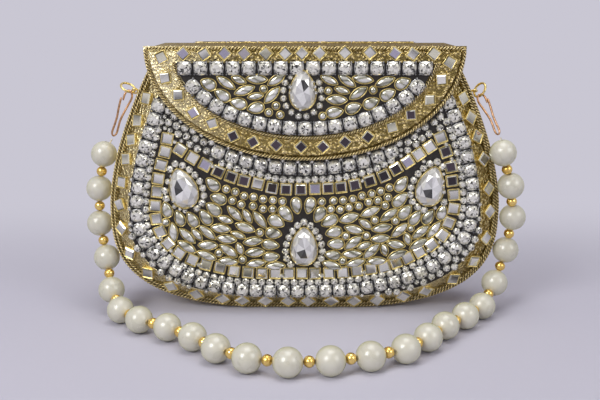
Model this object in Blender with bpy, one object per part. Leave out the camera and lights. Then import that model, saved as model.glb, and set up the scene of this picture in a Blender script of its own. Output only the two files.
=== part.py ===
"""A stone-set clutch bag: two formed metal panels, a riveted band, a hinged flap and a strand handle.

Metres, Z up, front towards -Y. Every piece is an object of its own.
The case stands still, the flap turns on the hinge pin, and the handle swings on two side eyes.
"""
import math

import bmesh
import bpy
from mathutils import Vector
from mathutils.geometry import delaunay_2d_cdt

# Case outline
CASE_HALF_WIDTH = 0.1043
CASE_HEIGHT = 0.1400
CASE_WAIST_HEIGHT_SHARE = 0.407
CASE_LOWER_POWER_SHARE = 2.9
CASE_SHOULDER_SHARE = 0.2694
CASE_SHOULDER_POWER_SHARE = 1.66
CASE_OUTLINE_REACH_SHARE = 1.18
CASE_FLAT = 0.0006
BOTTOM_INSET_SHARE = 0.82
OUTLINE_STEPS = 60
LOOP_POINTS = 37
FLAT_LOOP_POINTS = 27

# Stations through the depth, measured from the front rim plane
GUSSET_DEPTH = 0.0240
SHEET = 0.0008
SEAT_GAP = 0.0003
FRONT_RISE = 0.0095
BACK_RISE = 0.0070
FLANGE_INSET = 0.0029
FRONT_PLATEAU_INSET = 0.0112
BACK_PLATEAU_INSET = 0.0105
BED_THICKNESS = 0.0006
BED_EDGE = 0.0006
FRONT_PANEL_TOP_DROP = 0.0015
BED_TOP_DROP = 0.0005
BACK_PANEL_TOP_DROP = 0.0010
BAND_TOP_DROP = 0.0005
LINING = 0.0008
LINING_TOP_DROP = 0.0008
SIDE_LINING_EYE_DROP = 0.0070

# Ropes of twisted wire
ROPE_RADIUS = 0.0006
ROPE_OUTER_INSET = 0.00072
ROPE_INNER_INSET = 0.00225
ROPE_SIDES = 4
ROPE_TOP_STEPS = 8
TRIM_WIRE = 0.00045
TRIM_SIDES = 4
TRIM_LIFT_SHARE = 1.6

# Flap
FLAP_HALF_WIDTH = 0.0816
FLAP_TOP_RISE = 0.0020
FLAP_DROP = 0.0584
FLAP_POWER_SHARE = 2.05
FLAP_SHEET = 0.0010
FLAP_LINING = 0.0012
FLAP_EDGE_DROP = 0.0012
FLAP_FLANGE_INSET = 0.0017
FLAP_PLATEAU_INSET = 0.0029
FLAP_STANDOFF = 0.0005
FLAP_FIELD_INSET = 0.0131
FLAP_FIELD_TOP_DROP = 0.0084
FLAP_LINING_TOP_DROP = 0.0032
FLAP_BED_THICKNESS = 0.0005
FLAP_INNER_ROPE_RADIUS = 0.0005
FLAP_INNER_ROPE_INSET = 0.0121
FLAP_INNER_ROPE_TOP_DROP = 0.0082
FLAP_CORNER = 0.0018
TOP_PLATE_HALF_WIDTH = 0.0762
TOP_PLATE_THICKNESS = 0.0010

# Hinge
HINGE_RADIUS = 0.0017
HINGE_BORE_RADIUS = 0.0009
HINGE_PIN_RADIUS = 0.0006
HINGE_HEAD_RADIUS = 0.0014
HINGE_HEAD_LENGTH = 0.0006
HINGE_HALF_LENGTH = 0.0600
HINGE_KNUCKLES = 7
HINGE_SEGMENTS = 10
LEAF = 0.0008
CASE_LEAF_DROP = 0.0130
HINGE_DROP = 0.0010
TOOTH_MARGIN = 0.0006
TOOTH_DEPTH_SHARE = 0.72

# Magnets
MAGNET_RADIUS = 0.0060
MAGNET_HOLE_RADIUS = 0.0063
MAGNET_RISE = 0.0224
CASE_MAGNET_THICKNESS = 0.0008
FLAP_MAGNET_THICKNESS = 0.0011
MAGNET_SEGMENTS = 20

# Side eyes, rings and hooks
EYE_STANDOFF = 0.0038
EYE_SETBACK = 0.01405
EYE_DROP = 0.0230
EYE_RADIUS = 0.0015
EYE_WIRE = 0.0004
EYE_PIN_RADIUS = 0.0006
EYE_HOLE_RADIUS = 0.0012
EYE_HEAD_RADIUS = 0.0014
EYE_HEAD_DEPTH = 0.0022
EYE_HEAD_THICKNESS = 0.0006
EYE_HOLE_DEPTH = 0.0046
EYE_SEGMENTS = 12
RING_RADIUS = 0.0040
RING_WIRE = 0.0005
RING_SEGMENTS = 20
RING_SIDES = 6
LEFT_RING_REACH_SHARES = (-0.89, 0.0, 0.45)
LEFT_RING_SIDE_SHARES = (-0.171, -0.925, -0.338)
RIGHT_RING_REACH_SHARES = (0.5547, -0.8069, 0.2017)
RIGHT_RING_SIDE_SHARES = (0.283, 0.401, 0.871)
HOOK_LENGTH = 0.0264
HOOK_WIRE = 0.0005
HOOK_SIDES = 5
HOOK_POINTS = 30
HOOK_CURVE_STEPS = 4
HOOK_CATCH_REACH_SHARE = 0.893
HOOK_CATCH_BACK_SHARE = 0.45
LEFT_HOOK_LEAN_SHARES = (-0.372, -0.060, -0.926)
RIGHT_HOOK_LEAN_SHARES = (0.288, -0.620, -0.723)
HOOK_PATH_SHARES = (
    (0.205, -0.042, 0.034),
    (0.120, -0.056, 0.042),
    (0.045, -0.050, 0.046),
    (-0.010, -0.030, 0.044),
    (-0.048, -0.010, 0.008),
    (-0.026, 0.030, -0.040),
    (0.040, 0.078, -0.040),
    (0.110, 0.094, -0.027),
    (0.246, 0.080, 0.000),
    (0.375, 0.061, 0.000),
    (0.606, 0.034, 0.000),
    (0.850, 0.058, 0.000),
    (0.930, 0.052, 0.000),
    (0.972, 0.010, 0.000),
    (0.930, -0.036, 0.000),
    (0.850, -0.044, 0.000),
    (0.769, -0.042, 0.000),
    (0.553, -0.053, 0.000),
    (0.409, -0.080, 0.000),
    (0.242, -0.102, 0.000),
    (0.155, -0.110, 0.000),
)

# Strand
PEARL_RADIUS = 0.0070
PEARL_BORE_RADIUS = 0.0009
PEARL_SEGMENTS = 8
PEARL_BANDS = 6
PEARL_COUNT = 24
BEAD_RADIUS = 0.00265
BEAD_HALF_LENGTH = 0.0023
BEAD_SEGMENTS = 6
THREAD_RADIUS = 0.0004
END_LOOP_RADIUS = 0.0014
END_LOOP_WIRE = 0.0004
END_LOOP_SEGMENTS = 10
CURVE_STEPS = 24
BEAD_PROFILE_SHARES = ((-1.0, 0.0), (-0.75, 0.74), (0.0, 1.0), (0.75, 0.74), (1.0, 0.0))
STRAND_END_DROP = 0.0095
STRAND_LEFT_SHARES = ((-1.04, 0.03, 1.0), (-1.073, 0.03, 0.7546), (-1.075, 0.015, 0.5089), (-1.035, -0.04, 0.2701),
                      (-0.995, -0.148, 0.0749))
STRAND_FRONT_SHARES = ((-0.92, -0.307), (-0.80, -0.45), (-0.65, -0.553), (-0.516, -0.68), (-0.397, -0.82),
                       (-0.25, -0.935), (-0.073, -0.98), (0.11, -0.963), (0.287, -0.91), (0.45, -0.822),
                       (0.567, -0.68), (0.67, -0.526), (0.79, -0.387), (0.90, -0.24))
STRAND_RIGHT_SHARES = ((0.99, -0.10, 0.1110), (1.05, -0.05, 0.3268), (1.07, -0.075, 0.5622),
                       (1.04, -0.125, 0.7858), (0.987, -0.157, 1.0056))

# Stones: sizes and heights
BAND_MIRROR_SIDE = 0.0048
BAND_MIRROR_COUNT = 31
BAND_MIRROR_INSET = 0.0075
BAND_MIRROR_PITCH = 0.0120
MIRROR_HEIGHT = 0.0014
LARGE_STONE = 0.0064
LARGE_PITCH = 0.0077
LARGE_INSET = 0.0158
LARGE_HEIGHT = 0.0026
SMALL_STONE = 0.0041
SMALL_PITCH = 0.0046
SMALL_INSET = 0.0208
SMALL_HEIGHT = 0.0020
SQUARE_MIRROR = 0.0059
SQUARE_PITCH = 0.0072
SQUARE_INSET = 0.0261
SWAG_RADIUS = 0.1030
SWAG_CENTRE_HEIGHT = 0.1700
SWAG_HALF_WIDTH = 0.0715
SWAG_SMALL_DROP = 0.0057
SWAG_LARGE_DROP = 0.0046
SWAG_LARGE_HALF_WIDTH = 0.0480
KUNDAN_HEIGHT = 0.0024
CRYSTAL_HEIGHT = 0.0044
FLAP_MIRROR_SIDE = 0.0042
FLAP_MIRROR_COUNT = 15
FLAP_ARC_MIRROR_INSET = 0.0068
FLAP_ARC_MIRROR_PITCH = 0.0116
FLAP_TOP_MIRROR_DROP = 0.0046
FLAP_TOP_MIRROR_PITCH = 0.0104
FLAP_LARGE_STONE = 0.0068
FLAP_LARGE_TOP_COUNT = 17
FLAP_LARGE_TOP_DROP = 0.0109
FLAP_LARGE_TOP_STONE = 0.0064
FLAP_LARGE_ARC_COUNT = 19
FLAP_LARGE_ARC_INSET = 0.0170
FLAP_LARGE_PITCH = 0.0078
STONE_GAP = 0.00012
STONE_EDGE = 0.0004
TRIM_STRIDE = 8
FACE_EPSILON_SHARE = 0.0000001
MIRROR_TABLE_SHARE = 0.72
LARGE_TABLE_SHARE = 0.5
CRYSTAL_TABLE_SHARE = 0.55
LARGE_ROW_REACH = 30
SMALL_ROW_REACH = 45
SHRINK_STEPS_SHARES = (1.0, 0.94, 0.88, 0.82, 0.76)
HALO_STONE_PX = 7.8
FLAP_HALO_STONE_PX = 7.2
ROUND_STONE_PX = 8.2

# The view that the stones' places were read in, as shares of the case and of the flap
VIEW_CENTRE_PX = (300.0, 200.0)
VIEW_FOCAL_PX = 900.0
VIEW_PITCH_DEG = 12.32
CASE_VIEW_WIDTH_SHARE = 4.423
CASE_VIEW_HEIGHT_SHARE = 3.295
CASE_VIEW_SIDE_SHARE = -0.024
CASE_VIEW_EYE_SHARE = 1.1643
FLAP_VIEW_WIDTH_SHARE = 5.607
FLAP_VIEW_HEIGHT_SHARE = 7.834
FLAP_VIEW_SIDE_SHARE = -0.0306
FLAP_VIEW_EYE_SHARE = -0.3596

# Rows: centre x, centre y, length, width in px, then the turn of the long side in degrees
CASE_MARQUISES_PX = (
    (234.8, 213.3, 20.4, 9.0, 134), (247.4, 215.8, 16.6, 8.0, 121), (259.9, 219.5, 21.3, 9.0, 127),
    (245.1, 227.3, 20.8, 10.0, -20), (238.3, 234.8, 15.9, 7.0, -22), (252.9, 241.2, 19.7, 9.5, 8),
    (255.0, 252.1, 19.7, 9.7, 5), (255.9, 263.2, 19.7, 8.5, 7), (275.5, 265.7, 20.3, 9.0, 2),
    (239.9, 248.6, 13.4, 8.0, 112), (228.7, 250.5, 21.0, 9.5, -35), (226.7, 238.8, 20.2, 9.5, -8),
    (228.3, 261.2, 20.2, 9.0, -5), (220.9, 228.2, 20.3, 9.8, -7), (225.4, 219.3, 15.8, 8.0, -18),
    (207.5, 232.3, 21.5, 8.5, -41), (197.1, 234.3, 15.7, 7.5, -49), (187.4, 235.7, 21.1, 9.0, -44),
    (173.4, 232.2, 20.0, 9.7, 95), (187.0, 246.6, 21.1, 9.5, -32), (208.1, 245.1, 20.2, 9.9, -2),
    (206.8, 255.3, 20.9, 9.0, -22), (389.0, 214.9, 21.4, 9.3, 37), (370.3, 211.6, 21.2, 9.3, 24),
    (349.2, 217.8, 20.7, 10.5, 18), (365.4, 223.8, 15.9, 8.3, -35), (354.1, 229.2, 20.2, 9.3, -14),
    (381.9, 227.9, 20.6, 9.6, 11), (353.2, 242.6, 21.2, 10.0, 38), (364.3, 245.5, 15.6, 8.0, 20),
    (380.3, 238.5, 20.0, 9.3, 6), (399.5, 230.2, 21.4, 9.3, 41), (420.4, 231.9, 21.2, 9.0, 39),
    (433.8, 229.6, 21.2, 9.0, 53), (407.3, 238.5, 13.7, 8.2, 106), (418.5, 243.7, 21.0, 9.3, 31),
    (396.0, 244.3, 18.8, 9.3, -10), (384.2, 249.4, 13.5, 8.3, 107), (371.3, 250.9, 21.7, 9.5, 44),
    (352.2, 253.8, 20.5, 9.2, 2), (397.2, 254.5, 21.0, 9.2, 22), (376.5, 260.9, 19.8, 9.0, 3),
    (355.4, 262.7, 20.2, 9.0, 16), (331.9, 265.1, 20.5, 9.5, -18),
)
CASE_DROPS_PX = (
    (212.8, 184.2, 17.0, 12.0, 135), (218.5, 198.5, 17.0, 12.0, 160), (213.7, 209.0, 18.0, 12.0, 140),
    (205.7, 217.0, 18.0, 11.5, 125), (192.6, 219.5, 17.5, 11.5, 120), (179.7, 218.0, 17.0, 11.0, 110),
    (167.0, 209.5, 16.5, 11.5, 105), (276.4, 221.2, 17.5, 13.0, 330), (286.0, 213.9, 19.0, 12.5, 310),
    (296.4, 205.4, 17.0, 11.5, 280), (273.6, 233.1, 16.6, 12.0, 352), (270.6, 244.6, 17.5, 11.0, 352),
    (271.3, 256.7, 16.5, 11.0, 5), (401.3, 184.0, 18.0, 12.0, 55), (400.1, 199.6, 19.0, 12.0, 45),
    (404.9, 211.9, 18.0, 12.0, 50), (415.2, 217.7, 18.0, 11.0, 55), (428.2, 216.6, 17.5, 11.5, 58),
    (441.8, 212.2, 16.5, 11.3, 75), (309.8, 205.4, 17.0, 11.7, 255), (319.6, 214.3, 17.5, 12.3, 240),
    (329.4, 220.7, 18.0, 12.5, 210), (333.8, 232.1, 17.0, 11.8, 192), (335.9, 243.7, 17.0, 12.0, 180),
    (332.6, 255.0, 16.5, 10.8, 172),
)
CASE_ROUNDS_PX = (
    (166.0, 222.0), (226.3, 189.0), (235.3, 191.8), (244.1, 195.8), (253.6, 196.9), (263.1, 199.1),
    (273.0, 200.0), (282.5, 201.2), (232.4, 200.3), (241.3, 204.3), (253.1, 205.8), (263.1, 208.7),
    (272.5, 209.1), (259.9, 232.2), (242.5, 259.3), (219.0, 252.8), (321.8, 201.6), (333.4, 200.6),
    (343.1, 200.2), (352.8, 198.9), (362.0, 195.7), (371.6, 193.5), (330.8, 209.0), (340.1, 209.4),
    (349.0, 207.1), (358.6, 205.8), (368.5, 202.0), (380.6, 191.1), (389.4, 187.4), (377.7, 200.3),
    (387.8, 197.2), (384.9, 205.2), (374.8, 219.9), (395.3, 220.6), (410.7, 228.3), (345.6, 235.7),
    (366.2, 235.5), (342.6, 260.5),
)
CASE_CRYSTALS_PX = ((183.0, 188.0, 41.0, 28.0, 106), (430.5, 186.0, 40.5, 27.5, 77), (304.0, 246.0, 39.5, 26.7, 90))
CASE_HALO_PX = (
    (176.5, 160.0), (184.2, 165.0), (191.3, 170.3), (197.3, 176.4), (201.6, 184.1), (204.6, 192.9),
    (202.3, 200.4), (197.3, 206.0), (189.0, 208.3), (181.0, 209.6), (173.6, 205.6), (168.2, 198.8),
    (166.2, 190.6), (166.4, 182.8), (167.4, 175.0), (168.5, 167.2),
    (428.6, 161.2), (422.8, 167.2), (416.6, 173.2), (412.4, 180.6), (410.4, 189.4), (411.1, 197.7),
    (415.3, 204.0), (422.2, 208.1), (430.6, 208.0), (438.3, 203.8), (442.6, 197.0), (446.3, 189.8),
    (446.5, 181.5), (445.7, 173.2), (442.5, 165.4), (436.6, 158.4),
    (303.5, 216.6), (309.6, 222.7), (315.1, 228.9), (319.4, 235.7), (321.8, 243.1), (322.0, 251.0),
    (320.0, 258.6), (318.3, 266.8), (297.7, 221.8), (292.4, 228.2), (288.0, 235.0), (285.2, 242.2),
    (284.6, 250.0), (286.4, 257.8),
)
FLAP_MARQUISES_PX = (
    (226.0, 82.7, 21.7, 9.0, -34), (238.9, 79.8, 16.0, 8.3, -22), (256.6, 78.7, 21.0, 10.5, -8),
    (276.4, 79.6, 20.5, 10.0, 31), (244.5, 90.3, 21.5, 9.5, 19), (255.6, 96.2, 16.5, 7.5, 8),
    (272.0, 95.0, 21.7, 9.7, 47), (329.2, 80.0, 21.8, 9.5, -25), (347.0, 80.8, 21.7, 9.5, -34),
    (364.6, 78.6, 21.7, 9.7, -13), (384.9, 81.7, 20.7, 9.5, 21), (342.0, 90.2, 16.3, 7.5, -17),
    (358.4, 93.0, 20.9, 10.0, 34), (336.7, 99.7, 21.2, 10.3, -3),
)
FLAP_DROPS_PX = (
    (208.4, 84.0, 16.5, 12.5, 155), (222.4, 95.1, 17.5, 12.0, 145), (238.4, 103.3, 17.3, 12.0, 165),
    (255.7, 107.8, 17.3, 12.0, 190), (402.5, 83.2, 16.5, 12.3, 25), (387.7, 94.4, 16.5, 12.5, 28),
    (371.1, 103.0, 17.0, 12.3, 25), (353.3, 108.0, 16.8, 12.0, 22), (334.7, 112.3, 17.5, 12.0, 10),
)
FLAP_ROUNDS_PX = ((263.6, 89.1), (276.0, 105.7), (268.8, 112.3), (280.2, 114.7), (328.3, 90.8), (373.0, 90.0),
                  (322.6, 115.9))
FLAP_CRYSTALS_PX = ((302.7, 90.0, 40.0, 28.5, 90),)
FLAP_HALO_PX = (
    (288.6, 75.4), (285.0, 82.5), (283.4, 90.3), (283.4, 98.3), (286.2, 106.0), (291.4, 112.3), (298.4, 116.3),
    (316.4, 75.4), (318.9, 82.4), (321.0, 90.0), (321.8, 98.0), (319.6, 105.8), (313.9, 112.3), (306.6, 116.3),
)

# Stone shapes as shares of length and width, tip towards the first point
SQUARE_SHARES = ((0.5, -0.5), (0.5, 0.5), (-0.5, 0.5), (-0.5, -0.5))
DIAMOND_SHARES = ((0.7071, 0.0), (0.0, 0.7071), (-0.7071, 0.0), (0.0, -0.7071))
ROUND_SHARES = ((0.5, 0.0), (0.25, 0.433), (-0.25, 0.433), (-0.5, 0.0), (-0.25, -0.433), (0.25, -0.433))
MARQUISE_SHARES = ((0.5, 0.0), (0.2, 0.44), (-0.2, 0.44), (-0.5, 0.0), (-0.2, -0.44), (0.2, -0.44))
DROP_SHARES = ((0.5, 0.0), (0.06, 0.46), (-0.32, 0.4), (-0.5, 0.0), (-0.32, -0.4), (0.06, -0.46))
CRYSTAL_SHARES = ((0.5, 0.0), (0.28, 0.22), (0.04, 0.41), (-0.22, 0.46), (-0.43, 0.28), (-0.5, 0.0),
                  (-0.43, -0.28), (-0.22, -0.46), (0.04, -0.41), (0.28, -0.22))

# Derived places
FRONT_RIM = (FRONT_RISE + FLAP_STANDOFF + 2 * BED_THICKNESS + FLAP_LINING + FLAP_SHEET + FLAP_BED_THICKNESS
             + 3 * SEAT_GAP + CRYSTAL_HEIGHT - GUSSET_DEPTH - BACK_RISE) / 2
REAR_RIM = FRONT_RIM + GUSSET_DEPTH
FRONT_PLATEAU = FRONT_RIM - FRONT_RISE
BED_BACK = FRONT_PLATEAU - SEAT_GAP
BED_FRONT = BED_BACK - BED_THICKNESS
STONE_BASE = BED_FRONT - SEAT_GAP
BACK_PLATEAU = REAR_RIM + BACK_RISE
FLAP_LINING_BACK = BED_FRONT - FLAP_STANDOFF
FLAP_LINING_FRONT = FLAP_LINING_BACK - FLAP_LINING
FLAP_METAL_BACK = FLAP_LINING_FRONT - SEAT_GAP
FLAP_METAL_FRONT = FLAP_METAL_BACK - FLAP_SHEET
FLAP_BED_BACK = FLAP_METAL_FRONT - SEAT_GAP
FLAP_BED_FRONT = FLAP_BED_BACK - FLAP_BED_THICKNESS
FLAP_STONE_BASE = FLAP_BED_FRONT - SEAT_GAP
FRONT_PANEL_TOP = CASE_HEIGHT - FRONT_PANEL_TOP_DROP
BACK_PANEL_TOP = CASE_HEIGHT - BACK_PANEL_TOP_DROP
BAND_TOP = CASE_HEIGHT - BAND_TOP_DROP
CASE_LEAF_BOTTOM = CASE_HEIGHT - CASE_LEAF_DROP
FLAP_TOP = CASE_HEIGHT + FLAP_TOP_RISE
MAGNET_HEIGHT = FLAP_TOP - FLAP_DROP + MAGNET_RISE
HINGE_HEIGHT = FLAP_TOP - HINGE_DROP
HINGE_PLACE = BACK_PLATEAU - HINGE_RADIUS
PIVOT = Vector((0.0, HINGE_PLACE, HINGE_HEIGHT))
EYE_PLACE = FRONT_RIM + EYE_SETBACK
EYE_HEIGHT = CASE_HEIGHT - EYE_DROP
SIDE_LINING_TOP = EYE_HEIGHT - SIDE_LINING_EYE_DROP
SWING = Vector((0.0, EYE_PLACE, EYE_HEIGHT))
GROUND = Vector((0.0, 0.0, 0.0))

# Finishes: colour, metal share, roughness
FINISHES = {
    "gold_foil": ((0.47, 0.35, 0.13), 1.0, 0.38),
    "gold_rope": ((0.42, 0.31, 0.13), 1.0, 0.33),
    "dark_resin": ((0.018, 0.013, 0.02), 0.0, 0.35),
    "lining_cloth": ((0.05, 0.04, 0.05), 0.0, 0.85),
    "steel": ((0.55, 0.55, 0.56), 1.0, 0.3),
    "clear_glass": ((0.72, 0.73, 0.74), 0.0, 0.06),
    "mirror_glass": ((0.75, 0.74, 0.78), 1.0, 0.04),
    "copper_wire": ((0.5, 0.28, 0.16), 1.0, 0.28),
    "pearl": ((0.84, 0.8, 0.68), 0.0, 0.2),
    "bead_gold": ((0.7, 0.42, 0.08), 1.0, 0.25),
}


def finish(name):
    """Give the named finish as a material."""
    material = bpy.data.materials.get(name)
    if material is None:
        colour, metal, rough = FINISHES[name]
        material = bpy.data.materials.new(name)
        material.use_nodes = True
        shader = material.node_tree.nodes["Principled BSDF"]
        shader.inputs["Base Color"].default_value = (*colour, 1.0)
        shader.inputs["Metallic"].default_value = metal
        shader.inputs["Roughness"].default_value = rough
        material.diffuse_color = (*colour, 1.0)
    return material


def publish(name, shape, look, origin=GROUND, smooth=False):
    """Turn a finished shape into a named object with its origin where it turns."""
    bmesh.ops.recalc_face_normals(shape, faces=shape.faces)
    for vertex in shape.verts:
        vertex.co -= origin
    mesh = bpy.data.meshes.new(name)
    shape.to_mesh(mesh)
    shape.free()
    body = bpy.data.objects.new(name, mesh)
    body.location = origin
    bpy.context.collection.objects.link(body)
    mesh.materials.append(finish(look))
    for face in mesh.polygons:
        face.use_smooth = smooth
    return body


def combine(body, other, operation):
    """Join another object to a body or cut it out, and take the other away."""
    modifier = body.modifiers.new("combine", "BOOLEAN")
    modifier.operation = operation
    modifier.solver = "EXACT"
    modifier.object = other
    bpy.context.view_layer.update()
    graph = bpy.context.evaluated_depsgraph_get()
    mesh = bpy.data.meshes.new_from_object(body.evaluated_get(graph))
    body.modifiers.clear()
    old = body.data
    body.data = mesh
    bpy.data.meshes.remove(old)
    bpy.data.objects.remove(other)


def resample(points, count):
    """Space points evenly along a line of points."""
    lengths = [0.0]
    for first, second in zip(points, points[1:]):
        lengths.append(lengths[-1] + (second - first).length)
    spaced = []
    index = 0
    for step in range(count):
        target = lengths[-1] * step / (count - 1)
        while index < len(points) - 2 and lengths[index + 1] < target:
            index += 1
        part = lengths[index + 1] - lengths[index]
        share = (target - lengths[index]) / part if part else 0.0
        spaced.append(points[index].lerp(points[index + 1], share))
    return spaced


def case_half():
    """Right half of the case outline from the bottom centre up past the top."""
    waist = CASE_HEIGHT * CASE_WAIST_HEIGHT_SHARE
    power = 2 / CASE_LOWER_POWER_SHARE
    points = []
    for step in range(OUTLINE_STEPS + 1):
        turn = math.pi / 2 * step / OUTLINE_STEPS
        across = CASE_HALF_WIDTH * math.sin(turn) ** power
        rise = waist * (1 - max(math.cos(turn), 0.0) ** power)
        points.append(Vector((across, max(rise - CASE_FLAT, 0.0))))
    upper = CASE_HEIGHT - waist
    reach = (CASE_OUTLINE_REACH_SHARE * CASE_HEIGHT - waist) / upper
    for step in range(1, OUTLINE_STEPS + 1):
        share = step / OUTLINE_STEPS * reach
        across = CASE_HALF_WIDTH * (1 - CASE_SHOULDER_SHARE * share ** CASE_SHOULDER_POWER_SHARE)
        points.append(Vector((across, waist - CASE_FLAT + upper * share)))
    return points


def side_at(height):
    """Half the case's width at a height."""
    half = case_half()
    for first, second in zip(half, half[1:]):
        if second.y >= height > first.y:
            return first.lerp(second, (height - first.y) / (second.y - first.y)).x
    return half[-1].x


def flap_half():
    """Right half of the flap outline from the bottom centre up to the top corner."""
    power = 2 / FLAP_POWER_SHARE
    points = []
    for step in range(OUTLINE_STEPS + 1):
        turn = math.pi / 2 * step / OUTLINE_STEPS
        across = FLAP_HALF_WIDTH * math.sin(turn) ** power
        drop = FLAP_DROP * max(math.cos(turn), 0.0) ** power
        points.append(Vector((across, FLAP_TOP - drop)))
    return points


def loop(half, inset, top, count=LOOP_POINTS, bottom_share=1.0):
    """Outline moved inwards, cut at a height, whole from the top left to the top right."""
    moved = []
    for index, point in enumerate(half):
        before = half[max(index - 1, 0)]
        after = half[min(index + 1, len(half) - 1)]
        along = (after - before).normalized()
        if index == 0:
            along = Vector((1.0, 0.0))
        outward = Vector((along.y, -along.x))
        share = 1 - (1 - bottom_share) * outward.y ** 2
        place = point - outward * inset * share
        if not moved or place.x > moved[-1].x or place.y > moved[-1].y:
            moved.append(place)
    kept = [moved[0]]
    for first, second in zip(moved, moved[1:]):
        if second.y >= top:
            share = (top - first.y) / (second.y - first.y) if second.y > first.y else 0.0
            kept.append(first.lerp(second, max(share, 0.0)))
            break
        kept.append(second)
    whole = [Vector((-p.x, p.y)) for p in reversed(kept[1:])] + kept
    return resample(whole, count)


def case_loop(inset, top, count=LOOP_POINTS):
    """Case outline moved inwards, less so along the bottom."""
    share = BOTTOM_INSET_SHARE if inset > FLANGE_INSET else 1.0
    return loop(case_half(), inset, top, count, share)


def flap_loop(inset, top, count=LOOP_POINTS):
    """Flap outline moved inwards."""
    return loop(flap_half(), inset, top, count)


def ring_of(shape, points, depth):
    """Vertices for a flat line of points at one depth."""
    return [shape.verts.new((p.x, depth, p.y)) for p in points]


def dish(loops, thickness, closed=False):
    """A formed sheet: nested lines with their depths, the last one closed by a flat face.

    A closed sheet has its slope along the top edge too; an open one is cut straight there.
    """
    shape = bmesh.new()
    sides = []
    for shift in (0.0, thickness):
        rows = [ring_of(shape, points, depth + shift) for points, depth in loops]
        for low, high in zip(rows, rows[1:]):
            for k in range(len(low) if closed else len(low) - 1):
                follow = (k + 1) % len(low)
                shape.faces.new((low[k], low[follow], high[follow], high[k]))
        shape.faces.new(rows[-1])
        sides.append(rows)
    front, back = sides
    for k in range(len(front[0]) if closed else len(front[0]) - 1):
        follow = (k + 1) % len(front[0])
        shape.faces.new((front[0][k], front[0][follow], back[0][follow], back[0][k]))
    if closed:
        return shape
    edge_front = [row[0] for row in front] + [row[-1] for row in reversed(front)]
    edge_back = [row[0] for row in back] + [row[-1] for row in reversed(back)]
    for k in range(len(edge_front) - 1):
        shape.faces.new((edge_front[k], edge_front[k + 1], edge_back[k + 1], edge_back[k]))
    return shape


def prism(shape, points, start, end, axes="xz"):
    """A straight-sided block over a flat outline."""
    def place(p, depth):
        if axes == "xz":
            return (p[0], depth, p[1])
        return (p[0], p[1], depth)
    low = [shape.verts.new(place(p, start)) for p in points]
    high = [shape.verts.new(place(p, end)) for p in points]
    shape.faces.new(low)
    shape.faces.new(list(reversed(high)))
    for k in range(len(points)):
        follow = (k + 1) % len(points)
        shape.faces.new((low[k], high[k], high[follow], low[follow]))


def strip(outer, inner, start, end):
    """A bent strip between two lines, from one depth to another."""
    shape = bmesh.new()
    rows = [ring_of(shape, outer, start), ring_of(shape, outer, end),
            ring_of(shape, inner, end), ring_of(shape, inner, start)]
    for side in range(4):
        first, second = rows[side], rows[(side + 1) % 4]
        for k in range(len(first) - 1):
            shape.faces.new((first[k], first[k + 1], second[k + 1], second[k]))
    shape.faces.new([row[0] for row in rows])
    shape.faces.new([row[-1] for row in reversed(rows)])
    return shape


def tube(shape, path, radius, sides, closed=False):
    """A round wire along a path; its radius is one value or a list with one for each point."""
    count = len(path)
    rings = []
    across = None
    for index, point in enumerate(path):
        before = path[index - 1] if closed or index else point
        after = path[(index + 1) % count] if closed or index < count - 1 else point
        along = (after - before).normalized()
        across = along.orthogonal() if across is None else across - along * across.dot(along)
        across = across.normalized()
        up = along.cross(across)
        ring = []
        for k in range(sides):
            turn = 2 * math.pi * (k + 0.5) / sides
            reach = radius[index] if isinstance(radius, list) else radius
            ring.append(shape.verts.new(point + (across * math.cos(turn) + up * math.sin(turn)) * reach))
        rings.append(ring)
    pairs = list(zip(rings, rings[1:]))
    if closed:
        pairs.append((rings[-1], rings[0]))
    else:
        shape.faces.new(rings[0])
        shape.faces.new(list(reversed(rings[-1])))
    for low, high in pairs:
        for k in range(sides):
            follow = (k + 1) % sides
            shape.faces.new((low[k], high[k], high[follow], low[follow]))


def turned(shape, origin, axis, profile, segments, hollow=False):
    """A turned solid round an axis; a hollow one has a closed profile."""
    axis = axis.normalized()
    first = axis.orthogonal().normalized()
    second = axis.cross(first)
    rows = []
    for along, radius in profile:
        centre = origin + axis * along
        if radius <= 0.0:
            rows.append([shape.verts.new(centre)])
            continue
        row = []
        for k in range(segments):
            turn = 2 * math.pi * (k + 0.5) / segments
            row.append(shape.verts.new(centre + (first * math.cos(turn) + second * math.sin(turn)) * radius))
        rows.append(row)
    pairs = list(zip(rows, rows[1:]))
    if hollow:
        pairs.append((rows[-1], rows[0]))
    for low, high in pairs:
        for k in range(segments):
            follow = (k + 1) % segments
            if len(low) == 1:
                shape.faces.new((low[0], high[k], high[follow]))
            elif len(high) == 1:
                shape.faces.new((low[k], high[0], low[follow]))
            else:
                shape.faces.new((low[k], high[k], high[follow], low[follow]))


def circle(centre, first, second, radius, segments):
    """Points round a circle."""
    points = []
    for k in range(segments):
        turn = 2 * math.pi * k / segments
        points.append(centre + (first * math.cos(turn) + second * math.sin(turn)) * radius)
    return points


def drum(origin, axis, radius, start, end, segments, name="cutter"):
    """A plain round bar as an object, for joining or cutting."""
    shape = bmesh.new()
    turned(shape, origin, axis, ((start, 0.0), (start, radius), (end, radius), (end, 0.0)), segments)
    return publish(name, shape, "steel")


def cross_gap(first, second):
    """Widest gap between two convex outlines; below zero where they overlap."""
    widest = -1.0
    for shape, other in ((first, second), (second, first)):
        for k in range(len(shape)):
            edge = shape[(k + 1) % len(shape)] - shape[k]
            if edge.length == 0.0:
                continue
            outward = Vector((edge.y, -edge.x)).normalized()
            reach = max(p.dot(outward) for p in shape)
            widest = max(widest, min(p.dot(outward) for p in other) - reach)
    return widest


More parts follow.
